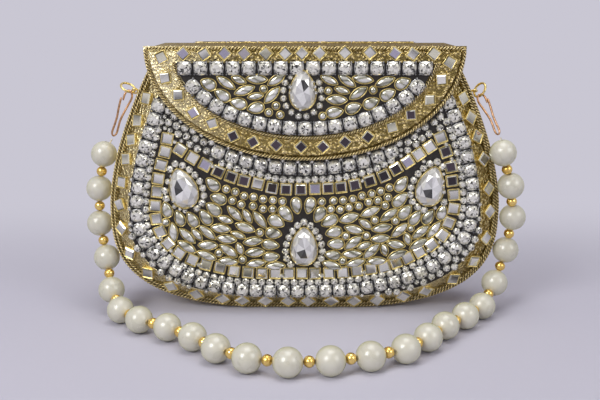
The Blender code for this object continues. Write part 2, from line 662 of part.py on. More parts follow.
class StoneField:
    """Stones on one bed, each kept clear of those set before it."""

    def __init__(self, base, origin, kept_out=()):
        self.base = base
        self.origin = origin
        self.taken = [list(points) for points in kept_out]
        self.raised = []

    def outline(self, centre, length, width, turn, shares):
        """Outline of a stone at its place."""
        turn = math.radians(turn)
        cosine, sine = math.cos(turn), math.sin(turn)
        points = []
        for along, across in shares:
            u, v = along * length, across * width
            points.append(Vector((centre.x + u * cosine - v * sine, centre.y + u * sine + v * cosine)))
        return points

    def place(self, centre, length, width, turn, shares, inside=None):
        """Find room for a stone, smaller if its place is tight; gives its outline or nothing."""
        for shrink in SHRINK_STEPS_SHARES:
            points = self.outline(centre, length * shrink, width * shrink, turn, shares)
            if inside is not None and not all(inside(p) for p in points):
                continue
            if all(cross_gap(points, other) >= STONE_GAP for other in self.taken):
                self.taken.append(points)
                return points
        return None

    def raise_stone(self, points, height, table_share):
        """Keep a stone that is bonded into the bed."""
        if points is not None:
            self.raised.append((points, height, table_share))

    def loose(self, name, points, height, table_share, look):
        """Make a stone that is a piece of its own, seated on the bed."""
        shape = bmesh.new()
        stone(shape, points, self.base, height, table_share)
        publish(name, shape, look, self.origin)


def stone(shape, points, base, height, table_share):
    """A faceted stone over a flat outline, its foot at one depth."""
    low = [shape.verts.new((p.x, base, p.y)) for p in points]
    shape.faces.new(low)
    crown(shape, low, points, base, height, table_share)


def crown(shape, low, points, base, height, table_share):
    """The faceted sides and the table over a foot."""
    middle = sum(points, Vector((0.0, 0.0))) / len(points)
    if table_share <= 0.0:
        tip = shape.verts.new((middle.x, base - height, middle.y))
        for k in range(len(low)):
            shape.faces.new((low[k], tip, low[(k + 1) % len(low)]))
        return
    table = [middle.lerp(p, table_share) for p in points]
    high = [shape.verts.new((p.x, base - height, p.y)) for p in table]
    shape.faces.new(list(reversed(high)))
    for k in range(len(low)):
        follow = (k + 1) % len(low)
        shape.faces.new((low[k], high[k], high[follow], low[follow]))


def holds(points, place):
    """True where a convex outline that runs anticlockwise holds a place."""
    for k in range(len(points)):
        p, q = points[k], points[(k + 1) % len(points)]
        if (q.x - p.x) * (place.y - p.y) - (q.y - p.y) * (place.x - p.x) < 0.0:
            return False
    return True


def bonded_bed(edge, raised, holes, front, back):
    """A bed with stones bonded into its face and plain holes through it, as one body."""
    shape = bmesh.new()
    outlines = [edge] + [list(points) for points in holes]
    feet = [points for points, _, _ in raised]

    def face(groups, depth, left_out):
        points, edges, starts = [], [], []
        for group in groups:
            start = len(points)
            starts.append(start)
            points += [Vector((p.x, p.y)) for p in group]
            edges += [(start + k, start + (k + 1) % len(group)) for k in range(len(group))]
        places, _, faces, origins, _, _ = delaunay_2d_cdt(points, edges, [], 1, FACE_EPSILON_SHARE)
        corners = [shape.verts.new((p.x, depth, p.y)) for p in places]
        match = {}
        for index, sources in enumerate(origins):
            for source in sources:
                match[source] = corners[index]
        for triangle in faces:
            middle = sum((places[k] for k in triangle), Vector((0.0, 0.0))) / len(triangle)
            if not any(holds(points, middle) for points in left_out):
                shape.faces.new([corners[k] for k in triangle])
        return [[match[start + k] for k in range(len(group))] for start, group in zip(starts, groups)]

    front_rows = face(outlines + feet, front, holes + feet)
    back_rows = face(outlines, back, holes)
    for low, high in zip(front_rows, back_rows):
        for k in range(len(low)):
            follow = (k + 1) % len(low)
            shape.faces.new((low[k], low[follow], high[follow], high[k]))
    for low, (points, height, table_share) in zip(front_rows[len(outlines):], raised):
        crown(shape, low, points, front, height, table_share)
    return shape


def chain(name, line, outlines, base, height, table_share, look, origin, closed=False):
    """Set stones joined by a trim wire that runs through their cups."""
    wire = bmesh.new()
    tube(wire, [Vector((p.x, base - TRIM_WIRE, p.y)) for p in line], TRIM_WIRE, TRIM_SIDES, closed)
    body = publish(name, wire, look, origin)
    cups = bmesh.new()
    for points in outlines:
        stone(cups, points, base, height, table_share)
    combine(body, publish("cutter", cups, look), "UNION")


def span(line, places):
    """The part of a line that reaches from the first to the last of some places on it."""
    picks = [min(range(len(line)), key=lambda k: (line[k] - place).length) for place in places]
    part = line[min(picks):max(picks) + 1]
    return part[::TRIM_STRIDE] + ([] if (len(part) - 1) % TRIM_STRIDE == 0 else [part[-1]])


def case_spot(px, py):
    """Place on the case's bed, and the size of one pixel there."""
    across = (px - VIEW_CENTRE_PX[0]) / VIEW_FOCAL_PX
    down = (py - VIEW_CENTRE_PX[1]) / VIEW_FOCAL_PX
    cosine = math.cos(math.radians(VIEW_PITCH_DEG))
    sine = math.sin(math.radians(VIEW_PITCH_DEG))
    ahead = cosine - down * sine
    width = CASE_VIEW_WIDTH_SHARE * CASE_HALF_WIDTH / ahead
    height = CASE_VIEW_HEIGHT_SHARE * CASE_HEIGHT / ahead
    x = CASE_VIEW_SIDE_SHARE * CASE_HALF_WIDTH + across * width
    z = CASE_VIEW_EYE_SHARE * CASE_HEIGHT - (sine + down * cosine) * height
    return Vector((x, z)), min(width, height) / VIEW_FOCAL_PX


def flap_spot(px, py):
    """Place on the flap's bed, and the size of one pixel there."""
    across = (px - VIEW_CENTRE_PX[0]) / VIEW_FOCAL_PX
    down = (py - VIEW_CENTRE_PX[1]) / VIEW_FOCAL_PX
    cosine = math.cos(math.radians(VIEW_PITCH_DEG))
    sine = math.sin(math.radians(VIEW_PITCH_DEG))
    ahead = cosine - down * sine
    width = FLAP_VIEW_WIDTH_SHARE * FLAP_HALF_WIDTH / ahead
    height = FLAP_VIEW_HEIGHT_SHARE * FLAP_DROP / ahead
    x = FLAP_VIEW_SIDE_SHARE * FLAP_HALF_WIDTH + across * width
    z = FLAP_TOP - FLAP_VIEW_EYE_SHARE * FLAP_DROP - (sine + down * cosine) * height
    return Vector((x, z)), min(width, height) / VIEW_FOCAL_PX


def along_line(points, distance):
    """Place and turn in degrees at a distance from the middle of a line."""
    lengths = [0.0]
    for first, second in zip(points, points[1:]):
        lengths.append(lengths[-1] + (second - first).length)
    target = lengths[-1] / 2 + distance
    if target < 0.0 or target > lengths[-1]:
        return None
    index = 0
    while index < len(points) - 2 and lengths[index + 1] < target:
        index += 1
    share = (target - lengths[index]) / (lengths[index + 1] - lengths[index])
    place = points[index].lerp(points[index + 1], share)
    run = points[min(index + 2, len(points) - 1)] - points[max(index - 1, 0)]
    return place, math.degrees(math.atan2(run.y, run.x))


def row_steps(count):
    """Steps out from the middle: 0, 1, -1, 2, -2 and so on."""
    steps = [0]
    for k in range(1, count + 1):
        steps += [k, -k]
    return steps


def fine_line(half, inset, top, bottom_share=1.0):
    """A close-stepped line for rows of stones."""
    return loop(half, inset, top, OUTLINE_STEPS * 4 + 1, bottom_share)


def build_case():
    """Panels, band, ropes and linings."""
    front = [(case_loop(inset, FRONT_PANEL_TOP), depth) for inset, depth in (
        (0.0, FRONT_RIM), (FLANGE_INSET, FRONT_RIM), (FRONT_PLATEAU_INSET, FRONT_PLATEAU))]
    publish("front_panel", dish(front, SHEET), "gold_foil")
    back = [(case_loop(inset, BACK_PANEL_TOP), depth) for inset, depth in (
        (0.0, REAR_RIM), (FLANGE_INSET, REAR_RIM), (BACK_PLATEAU_INSET, BACK_PLATEAU))]
    publish("back_panel", dish(back, -SHEET), "gold_foil")

    shape = bmesh.new()
    turned(shape, Vector((0.0, BED_BACK, MAGNET_HEIGHT)), Vector((0.0, -1.0, 0.0)),
           ((0.0, 0.0), (0.0, MAGNET_RADIUS), (CASE_MAGNET_THICKNESS, MAGNET_RADIUS), (CASE_MAGNET_THICKNESS, 0.0)),
           MAGNET_SEGMENTS)
    publish("case_magnet", shape, "steel")

    band_front = FRONT_RIM + SHEET + SEAT_GAP
    band_back = REAR_RIM - SHEET - SEAT_GAP
    band = publish("side_band", strip(case_loop(0.0, BAND_TOP), case_loop(SHEET, BAND_TOP), band_front, band_back),
                   "gold_foil")
    for side in (-1, 1):
        centre = Vector((0.0, EYE_PLACE, EYE_HEIGHT))
        wall = side_at(EYE_HEIGHT)
        combine(band, drum(centre, Vector((side, 0.0, 0.0)), EYE_HOLE_RADIUS, wall - EYE_HOLE_DEPTH,
                           wall + EYE_STANDOFF, EYE_SEGMENTS), "DIFFERENCE")

    for name, inset in (("front_rope_outer", ROPE_OUTER_INSET), ("front_rope_inner", ROPE_INNER_INSET)):
        depth = FRONT_RIM - SEAT_GAP - ROPE_RADIUS
        rope(name, case_loop(inset, FRONT_PANEL_TOP), depth, GROUND, ROPE_RADIUS)
    rope("rear_rope", case_loop(ROPE_OUTER_INSET, BACK_PANEL_TOP), REAR_RIM + SEAT_GAP + ROPE_RADIUS, GROUND,
         ROPE_RADIUS)

    shape = bmesh.new()
    start = FRONT_PLATEAU + SHEET + SEAT_GAP
    prism(shape, case_loop(FRONT_PLATEAU_INSET + BED_EDGE, FRONT_PANEL_TOP - LINING_TOP_DROP, FLAT_LOOP_POINTS),
          start, start + LINING)
    publish("front_lining", shape, "lining_cloth")
    shape = bmesh.new()
    start = BACK_PLATEAU - SHEET - SEAT_GAP
    prism(shape, case_loop(BACK_PLATEAU_INSET + BED_EDGE, CASE_LEAF_BOTTOM - LINING_TOP_DROP, FLAT_LOOP_POINTS),
          start, start - LINING)
    publish("back_lining", shape, "lining_cloth")
    inner = SHEET + SEAT_GAP
    lines = [[p for p in case_loop(inset, BAND_TOP) if p.y < SIDE_LINING_TOP] for inset in (inner, inner + LINING)]
    publish("side_lining", strip(*lines, band_front, band_back), "lining_cloth")


def rope(name, points, depth, origin, radius, closed=False):
    """A rope wire lying along a flat line."""
    shape = bmesh.new()
    tube(shape, [Vector((p.x, depth, max(p.y, radius))) for p in points], radius, ROPE_SIDES, closed)
    publish(name, shape, "gold_rope", origin, True)


def build_flap():
    """Flap sheet, bed, ropes, lining, top plate and magnet."""
    edge = FLAP_METAL_FRONT + FLAP_EDGE_DROP
    loops = [(flap_loop(inset, FLAP_TOP - inset), depth) for inset, depth in (
        (0.0, edge), (FLAP_FLANGE_INSET, edge), (FLAP_PLATEAU_INSET, FLAP_METAL_FRONT))]
    publish("flap_panel", dish(loops, FLAP_SHEET, True), "gold_foil", PIVOT)
    shape = bmesh.new()
    prism(shape, flap_loop(FLAP_FIELD_INSET, FLAP_TOP - FLAP_LINING_TOP_DROP), FLAP_LINING_BACK, FLAP_LINING_FRONT)
    lining = publish("flap_lining", shape, "lining_cloth", PIVOT)
    centre = Vector((0.0, FLAP_LINING_FRONT, MAGNET_HEIGHT))
    combine(lining, drum(centre, Vector((0.0, 1.0, 0.0)), MAGNET_HOLE_RADIUS, -FLAP_LINING, 2 * FLAP_LINING,
                         MAGNET_SEGMENTS), "DIFFERENCE")
    shape = bmesh.new()
    turned(shape, centre, Vector((0.0, 1.0, 0.0)),
           ((0.0, 0.0), (0.0, MAGNET_RADIUS), (FLAP_MAGNET_THICKNESS, MAGNET_RADIUS), (FLAP_MAGNET_THICKNESS, 0.0)),
           MAGNET_SEGMENTS)
    publish("flap_magnet", shape, "steel", PIVOT)
    shape = bmesh.new()
    front = FLAP_METAL_BACK + FLAP_EDGE_DROP + SEAT_GAP
    back = HINGE_PLACE - HINGE_RADIUS - SEAT_GAP
    corners = ((-TOP_PLATE_HALF_WIDTH, front), (TOP_PLATE_HALF_WIDTH, front),
               (TOP_PLATE_HALF_WIDTH, back), (-TOP_PLATE_HALF_WIDTH, back))
    prism(shape, corners, FLAP_TOP - TOP_PLATE_THICKNESS, FLAP_TOP, "xy")
    publish("flap_top_plate", shape, "gold_foil", PIVOT)

    arc = flap_loop(ROPE_OUTER_INSET, FLAP_TOP - FLAP_CORNER)
    reach = arc[-1].x - FLAP_CORNER
    high = FLAP_TOP - ROPE_OUTER_INSET
    top = [Vector((reach * (1 - 2 * step / ROPE_TOP_STEPS), high)) for step in range(ROPE_TOP_STEPS + 1)]
    rope("flap_rope_outer", arc + top, edge - SEAT_GAP - ROPE_RADIUS, PIVOT, ROPE_RADIUS, True)
    rope("flap_rope_inner", flap_loop(FLAP_INNER_ROPE_INSET, FLAP_TOP - FLAP_INNER_ROPE_TOP_DROP),
         FLAP_METAL_FRONT - SEAT_GAP - FLAP_INNER_ROPE_RADIUS, PIVOT, FLAP_INNER_ROPE_RADIUS)


def knuckle_spans(parity):
    """Ends of every second knuckle along the hinge."""
    pitch = 2 * HINGE_HALF_LENGTH / HINGE_KNUCKLES
    spans = []
    for k in range(parity, HINGE_KNUCKLES, 2):
        start = -HINGE_HALF_LENGTH + k * pitch
        spans.append((start + SEAT_GAP / 2, start + pitch - SEAT_GAP / 2))
    return spans


def comb(spans, near, far, tip):
    """Outline of a leaf with a tooth at each knuckle."""
    points = [(-HINGE_HALF_LENGTH, far), (-HINGE_HALF_LENGTH, near)]
    for start, end in spans:
        points += [(start + TOOTH_MARGIN, near), (start + TOOTH_MARGIN, tip), (end - TOOTH_MARGIN, tip),
                   (end - TOOTH_MARGIN, near)]
    points += [(HINGE_HALF_LENGTH, near), (HINGE_HALF_LENGTH, far)]
    return points


def build_hinge():
    """Two leaves with knuckles on one pin."""
    along = Vector((1.0, 0.0, 0.0))
    clear = HINGE_RADIUS + 2 * SEAT_GAP
    leaf_front = BACK_PLATEAU - SHEET - SEAT_GAP - LEAF
    shape = bmesh.new()
    prism(shape, comb(knuckle_spans(0), HINGE_HEIGHT - clear, CASE_LEAF_BOTTOM,
                      HINGE_HEIGHT - HINGE_RADIUS * TOOTH_DEPTH_SHARE), leaf_front, leaf_front + LEAF)
    case_leaf = publish("case_hinge_leaf", shape, "steel")
    shape = bmesh.new()
    low = FLAP_TOP - TOP_PLATE_THICKNESS - SEAT_GAP - LEAF
    front = FLAP_METAL_BACK + FLAP_EDGE_DROP + SEAT_GAP
    prism(shape, comb(knuckle_spans(1), HINGE_PLACE - clear, front, HINGE_PLACE - HINGE_RADIUS * TOOTH_DEPTH_SHARE),
          low, low + LEAF, "xy")
    flap_leaf = publish("flap_hinge_leaf", shape, "steel", PIVOT)
    centre = Vector((0.0, HINGE_PLACE, HINGE_HEIGHT))
    for leaf, parity in ((case_leaf, 0), (flap_leaf, 1)):
        for start, end in knuckle_spans(parity):
            combine(leaf, drum(centre, along, HINGE_RADIUS, start, end, HINGE_SEGMENTS), "UNION")
        reach = HINGE_HALF_LENGTH + 2 * HINGE_HEAD_LENGTH
        combine(leaf, drum(centre, along, HINGE_BORE_RADIUS, -reach, reach, HINGE_SEGMENTS), "DIFFERENCE")
    end = HINGE_HALF_LENGTH + SEAT_GAP
    tip = end + HINGE_HEAD_LENGTH
    shape = bmesh.new()
    turned(shape, centre, along, ((-tip, 0.0), (-tip, HINGE_HEAD_RADIUS), (-end, HINGE_HEAD_RADIUS),
                                  (-end, HINGE_PIN_RADIUS), (end, HINGE_PIN_RADIUS), (end, HINGE_HEAD_RADIUS),
                                  (tip, HINGE_HEAD_RADIUS), (tip, 0.0)), HINGE_SEGMENTS)
    publish("hinge_pin", shape, "steel")


def build_case_stones():
    """The bed of the case front with its bonded stones, the crystals and the chain of large stones."""
    half = case_half()
    flap = flap_loop(-STONE_EDGE, FLAP_TOP)
    magnet = circle_outline(Vector((0.0, MAGNET_HEIGHT)), MAGNET_HOLE_RADIUS)
    field = StoneField(STONE_BASE, GROUND, (flap, magnet))
    edge = case_loop(FRONT_PLATEAU_INSET + BED_EDGE, FRONT_PANEL_TOP - BED_TOP_DROP)
    limit = fine_line(half, FRONT_PLATEAU_INSET + BED_EDGE + STONE_EDGE, FRONT_PANEL_TOP, BOTTOM_INSET_SHARE)

    def inside(point):
        """True well inside the bed."""
        return holds(limit, point)

    for name, (px, py, length, width, turn) in zip(("crystal_left", "crystal_right", "crystal_lower"),
                                                   CASE_CRYSTALS_PX):
        spot, scale = case_spot(px, py)
        points = field.place(spot, length * scale, width * scale, turn, CRYSTAL_SHARES)
        field.loose(name, points, CRYSTAL_HEIGHT, CRYSTAL_TABLE_SHARE, "clear_glass")
    for table, shares in ((CASE_MARQUISES_PX, MARQUISE_SHARES), (CASE_DROPS_PX, DROP_SHARES)):
        for px, py, length, width, turn in table:
            spot, scale = case_spot(px, py)
            field.raise_stone(field.place(spot, length * scale, width * scale, turn, shares), KUNDAN_HEIGHT, 0.0)
    for table, size_px, height in ((CASE_HALO_PX, HALO_STONE_PX, SMALL_HEIGHT),
                                   (CASE_ROUNDS_PX, ROUND_STONE_PX, KUNDAN_HEIGHT)):
        for px, py in table:
            spot, scale = case_spot(px, py)
            size = size_px * scale
            field.raise_stone(field.place(spot, size, size, 0.0, ROUND_SHARES), height, 0.0)

    line = fine_line(half, LARGE_INSET, FRONT_PANEL_TOP, BOTTOM_INSET_SHARE)
    outlines, spots = [], []
    for step in row_steps(LARGE_ROW_REACH):
        found = along_line(line, step * LARGE_PITCH)
        points = found and field.place(found[0], LARGE_STONE, LARGE_STONE, found[1], SQUARE_SHARES)
        if points:
            outlines.append(points)
            spots.append(found[0])
    chain("case_rhinestone_chain", span(line, spots), outlines, STONE_BASE, LARGE_HEIGHT, LARGE_TABLE_SHARE,
          "clear_glass", GROUND)

    swag = []
    for step in range(OUTLINE_STEPS * 2 + 1):
        across = SWAG_HALF_WIDTH * (step / OUTLINE_STEPS - 1)
        swag.append(Vector((across, SWAG_CENTRE_HEIGHT - math.sqrt(SWAG_RADIUS ** 2 - across ** 2))))
    under_flap = [p for p in flap_loop(-SWAG_LARGE_DROP, FLAP_TOP, OUTLINE_STEPS * 4 + 1)
                  if abs(p.x) < SWAG_LARGE_HALF_WIDTH]
    rows = (
        (fine_line(half, SQUARE_INSET, FRONT_PANEL_TOP, BOTTOM_INSET_SHARE), SQUARE_PITCH, SQUARE_MIRROR,
         SQUARE_SHARES, MIRROR_HEIGHT, MIRROR_TABLE_SHARE),
        (swag, SQUARE_PITCH, SQUARE_MIRROR, SQUARE_SHARES, MIRROR_HEIGHT, MIRROR_TABLE_SHARE),
        (fine_line(half, SMALL_INSET, FRONT_PANEL_TOP, BOTTOM_INSET_SHARE), SMALL_PITCH, SMALL_STONE,
         ROUND_SHARES, SMALL_HEIGHT, 0.0),
        (under_flap, LARGE_PITCH, LARGE_STONE, SQUARE_SHARES, LARGE_HEIGHT, LARGE_TABLE_SHARE),
        ([p + Vector((0.0, SWAG_SMALL_DROP)) for p in swag], SMALL_PITCH, SMALL_STONE, ROUND_SHARES,
         SMALL_HEIGHT, 0.0),
    )
    for line, pitch, size, shares, height, table in rows:
        for step in row_steps(SMALL_ROW_REACH):
            found = along_line(line, step * pitch)
            if found is not None:
                field.raise_stone(field.place(found[0], size, size, found[1], shares, inside), height, table)
    publish("front_resin_bed", bonded_bed(edge, field.raised, [magnet], BED_FRONT, BED_BACK), "dark_resin")
    build_band_mirrors(half)


def circle_outline(centre, radius):
    """Flat outline of a round hole."""
    points = []
    for k in range(MAGNET_SEGMENTS):
        turn = 2 * math.pi * k / MAGNET_SEGMENTS
        points.append(centre + Vector((math.cos(turn), math.sin(turn))) * radius)
    return points


def build_band_mirrors(half):
    """Small mirrors on one trim wire along the slope between the ropes and the bed."""
    share = (BAND_MIRROR_INSET - FLANGE_INSET) / (FRONT_PLATEAU_INSET - FLANGE_INSET)
    low = fine_line(half, FLANGE_INSET, FRONT_PANEL_TOP)
    high = fine_line(half, FRONT_PLATEAU_INSET, FRONT_PANEL_TOP, BOTTOM_INSET_SHARE)
    line = [a.lerp(b, share) for a, b in zip(low, high)]
    flap = flap_loop(0.0, FLAP_TOP)
    rise = FRONT_PLATEAU - FRONT_RIM
    depth = FRONT_RIM + rise * share
    mirrors = bmesh.new()
    spots = []

    def normal_at(index):
        """Direction up the slope and the one out of it."""
        slope = high[index] - low[index]
        slope = Vector((slope.x, rise, slope.y)).normalized()
        run = line[min(index + 1, len(line) - 1)] - line[max(index - 1, 0)]
        along = Vector((run.x, 0.0, run.y)).normalized()
        along = (along - slope * along.dot(slope)).normalized()
        outward = along.cross(slope).normalized()
        return along, slope, (outward if outward.y < 0.0 else -outward)

    for step in row_steps(BAND_MIRROR_COUNT // 2):
        found = along_line(line, step * BAND_MIRROR_PITCH)
        if found is None:
            continue
        place = found[0]
        square = [place + Vector((u, v)) * BAND_MIRROR_SIDE for u, v in DIAMOND_SHARES]
        if place.y + BAND_MIRROR_SIDE > FRONT_PANEL_TOP or cross_gap(square, flap) < 2 * STONE_EDGE:
            continue
        along, slope, outward = normal_at(min(range(len(line)), key=lambda k: (line[k] - place).length))
        centre = Vector((place.x, depth, place.y)) + outward * SEAT_GAP * TRIM_LIFT_SHARE
        base = [centre + (along * u + slope * v) * BAND_MIRROR_SIDE for u, v in DIAMOND_SHARES]
        top = [centre + (p - centre) * MIRROR_TABLE_SHARE + outward * MIRROR_HEIGHT for p in base]
        lower = [mirrors.verts.new(p) for p in base]
        upper = [mirrors.verts.new(p) for p in top]
        mirrors.faces.new(lower)
        mirrors.faces.new(list(reversed(upper)))
        for k in range(len(base)):
            follow = (k + 1) % len(base)
            mirrors.faces.new((lower[k], upper[k], upper[follow], lower[follow]))
        spots.append(place)
    path = []
    for place in span(line, spots):
        index = min(range(len(line)), key=lambda k: (line[k] - place).length)
        lift = SEAT_GAP * TRIM_LIFT_SHARE + TRIM_WIRE
        path.append(Vector((place.x, depth, place.y)) + normal_at(index)[2] * lift)
    wire = bmesh.new()
    tube(wire, path, TRIM_WIRE, TRIM_SIDES)
    strip_body = publish("band_mirror_strip", wire, "mirror_glass")
    combine(strip_body, publish("cutter", mirrors, "mirror_glass"), "UNION")


def build_flap_stones():
    """The bed of the flap with its bonded stones, the crystal and the two chains."""
    half = flap_half()
    field = StoneField(FLAP_STONE_BASE, PIVOT)
    edge = flap_loop(FLAP_FIELD_INSET, FLAP_TOP - FLAP_FIELD_TOP_DROP)
    for px, py, length, width, turn in FLAP_CRYSTALS_PX:
        spot, scale = flap_spot(px, py)
        points = field.place(spot, length * scale, width * scale, turn, CRYSTAL_SHARES)
        field.loose("flap_crystal", points, CRYSTAL_HEIGHT, CRYSTAL_TABLE_SHARE, "clear_glass")
    arc = fine_line(half, FLAP_LARGE_ARC_INSET, FLAP_TOP - FLAP_LARGE_TOP_DROP)
    outlines = []
    for step in row_steps(FLAP_LARGE_ARC_COUNT // 2):
        found = along_line(arc, step * FLAP_LARGE_PITCH)
        if found is not None:
            outlines.append(field.place(found[0], FLAP_LARGE_STONE, FLAP_LARGE_STONE, found[1], SQUARE_SHARES))
    for step in row_steps(FLAP_LARGE_TOP_COUNT // 2):
        spot = Vector((step * FLAP_LARGE_PITCH, FLAP_TOP - FLAP_LARGE_TOP_DROP))
        outlines.append(field.place(spot, FLAP_LARGE_TOP_STONE, FLAP_LARGE_TOP_STONE, 0.0, SQUARE_SHARES))
    chain("flap_rhinestone_chain", closed_row(arc), [points for points in outlines if points], FLAP_STONE_BASE,
          LARGE_HEIGHT, LARGE_TABLE_SHARE, "clear_glass", PIVOT, True)
    for table, shares in ((FLAP_MARQUISES_PX, MARQUISE_SHARES), (FLAP_DROPS_PX, DROP_SHARES)):
        for px, py, length, width, turn in table:
            spot, scale = flap_spot(px, py)
            field.raise_stone(field.place(spot, length * scale, width * scale, turn, shares), KUNDAN_HEIGHT, 0.0)
    for table, size_px, height in ((FLAP_HALO_PX, FLAP_HALO_STONE_PX, SMALL_HEIGHT),
                                   (FLAP_ROUNDS_PX, ROUND_STONE_PX, KUNDAN_HEIGHT)):
        for px, py in table:
            spot, scale = flap_spot(px, py)
            size = size_px * scale
            field.raise_stone(field.place(spot, size, size, 0.0, ROUND_SHARES), height, 0.0)
    publish("flap_resin_bed", bonded_bed(edge, field.raised, [], FLAP_BED_FRONT, FLAP_BED_BACK), "dark_resin", PIVOT)

    mirrors = StoneField(FLAP_METAL_FRONT - SEAT_GAP, PIVOT)
    outlines = []
    arc = fine_line(half, FLAP_ARC_MIRROR_INSET, FLAP_TOP - FLAP_TOP_MIRROR_DROP)
    for step in row_steps(FLAP_MIRROR_COUNT // 2):
        found = along_line(arc, step * FLAP_ARC_MIRROR_PITCH)
        if found is not None:
            outlines.append(mirrors.place(found[0], FLAP_MIRROR_SIDE, FLAP_MIRROR_SIDE, found[1], DIAMOND_SHARES))
    for step in row_steps(FLAP_MIRROR_COUNT // 2):
        spot = Vector((step * FLAP_TOP_MIRROR_PITCH, FLAP_TOP - FLAP_TOP_MIRROR_DROP))
        outlines.append(mirrors.place(spot, FLAP_MIRROR_SIDE, FLAP_MIRROR_SIDE, 0.0, DIAMOND_SHARES))
    chain("flap_mirror_strip", closed_row(arc), [points for points in outlines if points],
          FLAP_METAL_FRONT - SEAT_GAP, MIRROR_HEIGHT, MIRROR_TABLE_SHARE, "mirror_glass", PIVOT, True)


def closed_row(arc):
    """A row line along the arc and back along the top."""
    line = arc[::TRIM_STRIDE]
    steps = len(line) // 3
    back = [arc[-1].lerp(arc[0], step / steps) for step in range(1, steps)]
    return line + back


def build_eye(name, side, through):
    """An eye on a rivet through the band, turned so that the ring runs straight through it."""
    wall = side_at(EYE_HEIGHT)
    centre = Vector((side * (wall + EYE_STANDOFF), EYE_PLACE, EYE_HEIGHT))
    pin_way = Vector((1.0, 0.0, 0.0))
    facing = (through - pin_way * through.dot(pin_way)).normalized()
    shape = bmesh.new()
    tube(shape, circle(centre, pin_way, facing.cross(pin_way), EYE_RADIUS, EYE_SEGMENTS), EYE_WIRE, RING_SIDES, True)
    eye = publish(name, shape, "gold_rope", SWING)
    end = wall + EYE_STANDOFF - EYE_RADIUS
    face = wall - EYE_HEAD_DEPTH
    inner = face - EYE_HEAD_THICKNESS
    origin = Vector((0.0, EYE_PLACE, EYE_HEIGHT))
    pin = bmesh.new()
    turned(pin, origin, Vector((side, 0.0, 0.0)), ((inner, 0.0), (inner, EYE_HEAD_RADIUS), (face, EYE_HEAD_RADIUS),
                                                   (face, EYE_PIN_RADIUS), (end, EYE_PIN_RADIUS), (end, 0.0)),
           EYE_SEGMENTS)
    combine(eye, publish("cutter", pin, "steel"), "UNION")


def hook_frame(lean, bar, side):
    """Directions along, across and behind for a hook that hangs on a bar of the ring."""
    along = Vector(lean).normalized()
    across = (bar - along * bar.dot(along)).normalized()
    if across.x * side > 0.0:
        across = -across
    behind = along.cross(across)
    return along, across, (behind if behind.y > 0.0 else -behind)


def smooth_line(points, steps):
    """A smooth line through points."""
    line = []
    for index in range(len(points) - 1):
        p0 = points[max(index - 1, 0)]
        p1, p2 = points[index], points[index + 1]
        p3 = points[min(index + 2, len(points) - 1)]
        for step in range(steps):
            t = step / steps
            line.append(0.5 * (2 * p1 + (p2 - p0) * t + (2 * p0 - 5 * p1 + 4 * p2 - p3) * t * t
                               + (3 * p1 - p0 - 3 * p2 + p3) * t * t * t))
    line.append(points[-1])
    return line


def build_side(side):
    """Eye, ring and hook of one side; gives the low bend of the hook and its wire's direction there."""
    name = "left" if side < 0 else "right"
    eye = Vector((side * (side_at(EYE_HEIGHT) + EYE_STANDOFF), EYE_PLACE, EYE_HEIGHT))
    first = Vector(LEFT_RING_REACH_SHARES if side < 0 else RIGHT_RING_REACH_SHARES).normalized()
    second = Vector(LEFT_RING_SIDE_SHARES if side < 0 else RIGHT_RING_SIDE_SHARES)
    second = (second - first * second.dot(first)).normalized()
    centre = eye + first * RING_RADIUS
    build_eye(f"side_eye_{name}", side, second)
    shape = bmesh.new()
    tube(shape, circle(centre, first, second, RING_RADIUS, RING_SEGMENTS), RING_WIRE, RING_SIDES, True)
    publish(f"ring_{name}", shape, "gold_rope", SWING, True)

    catch = centre + (first * HOOK_CATCH_BACK_SHARE - second * HOOK_CATCH_REACH_SHARE) * side * RING_RADIUS
    bar = first * HOOK_CATCH_REACH_SHARE + second * HOOK_CATCH_BACK_SHARE
    lean = LEFT_HOOK_LEAN_SHARES if side < 0 else RIGHT_HOOK_LEAN_SHARES
    along, across, behind = hook_frame(lean, bar, side)
    path = [catch + (along * a + across * b + behind * c) * HOOK_LENGTH for a, b, c in HOOK_PATH_SHARES]
    shape = bmesh.new()
    tube(shape, resample(smooth_line(path, HOOK_CURVE_STEPS), HOOK_POINTS), HOOK_WIRE, HOOK_SIDES)
    publish(f"hook_{name}", shape, "copper_wire", SWING, True)
    bend = max(path, key=lambda p: (p - catch).dot(along))
    return bend, across


def beaded_path(stops):
    """Points and radii of the thread with a gold bead swelling between each pair of pearls."""
    path = [(stops[0], THREAD_RADIUS)]
    for index in range(1, len(stops)):
        start, end = stops[index - 1], stops[index]
        if index % 2 == 1 and 1 < index < len(stops) - 1:
            middle, along = (start + end) / 2, (end - start).normalized()
            for place, radius in BEAD_PROFILE_SHARES:
                path.append((middle + along * place * BEAD_HALF_LENGTH,
                             THREAD_RADIUS + (BEAD_RADIUS - THREAD_RADIUS) * radius))
        path.append((end, THREAD_RADIUS))
    return path


def hanging(shares, bend):
    """Points of the strand between the table and the hook whose low bend is given."""
    top = bend.z - STRAND_END_DROP - PEARL_RADIUS
    return [Vector((x * CASE_HALF_WIDTH, y * CASE_HALF_WIDTH, PEARL_RADIUS + z * top)) for x, y, z in shares]


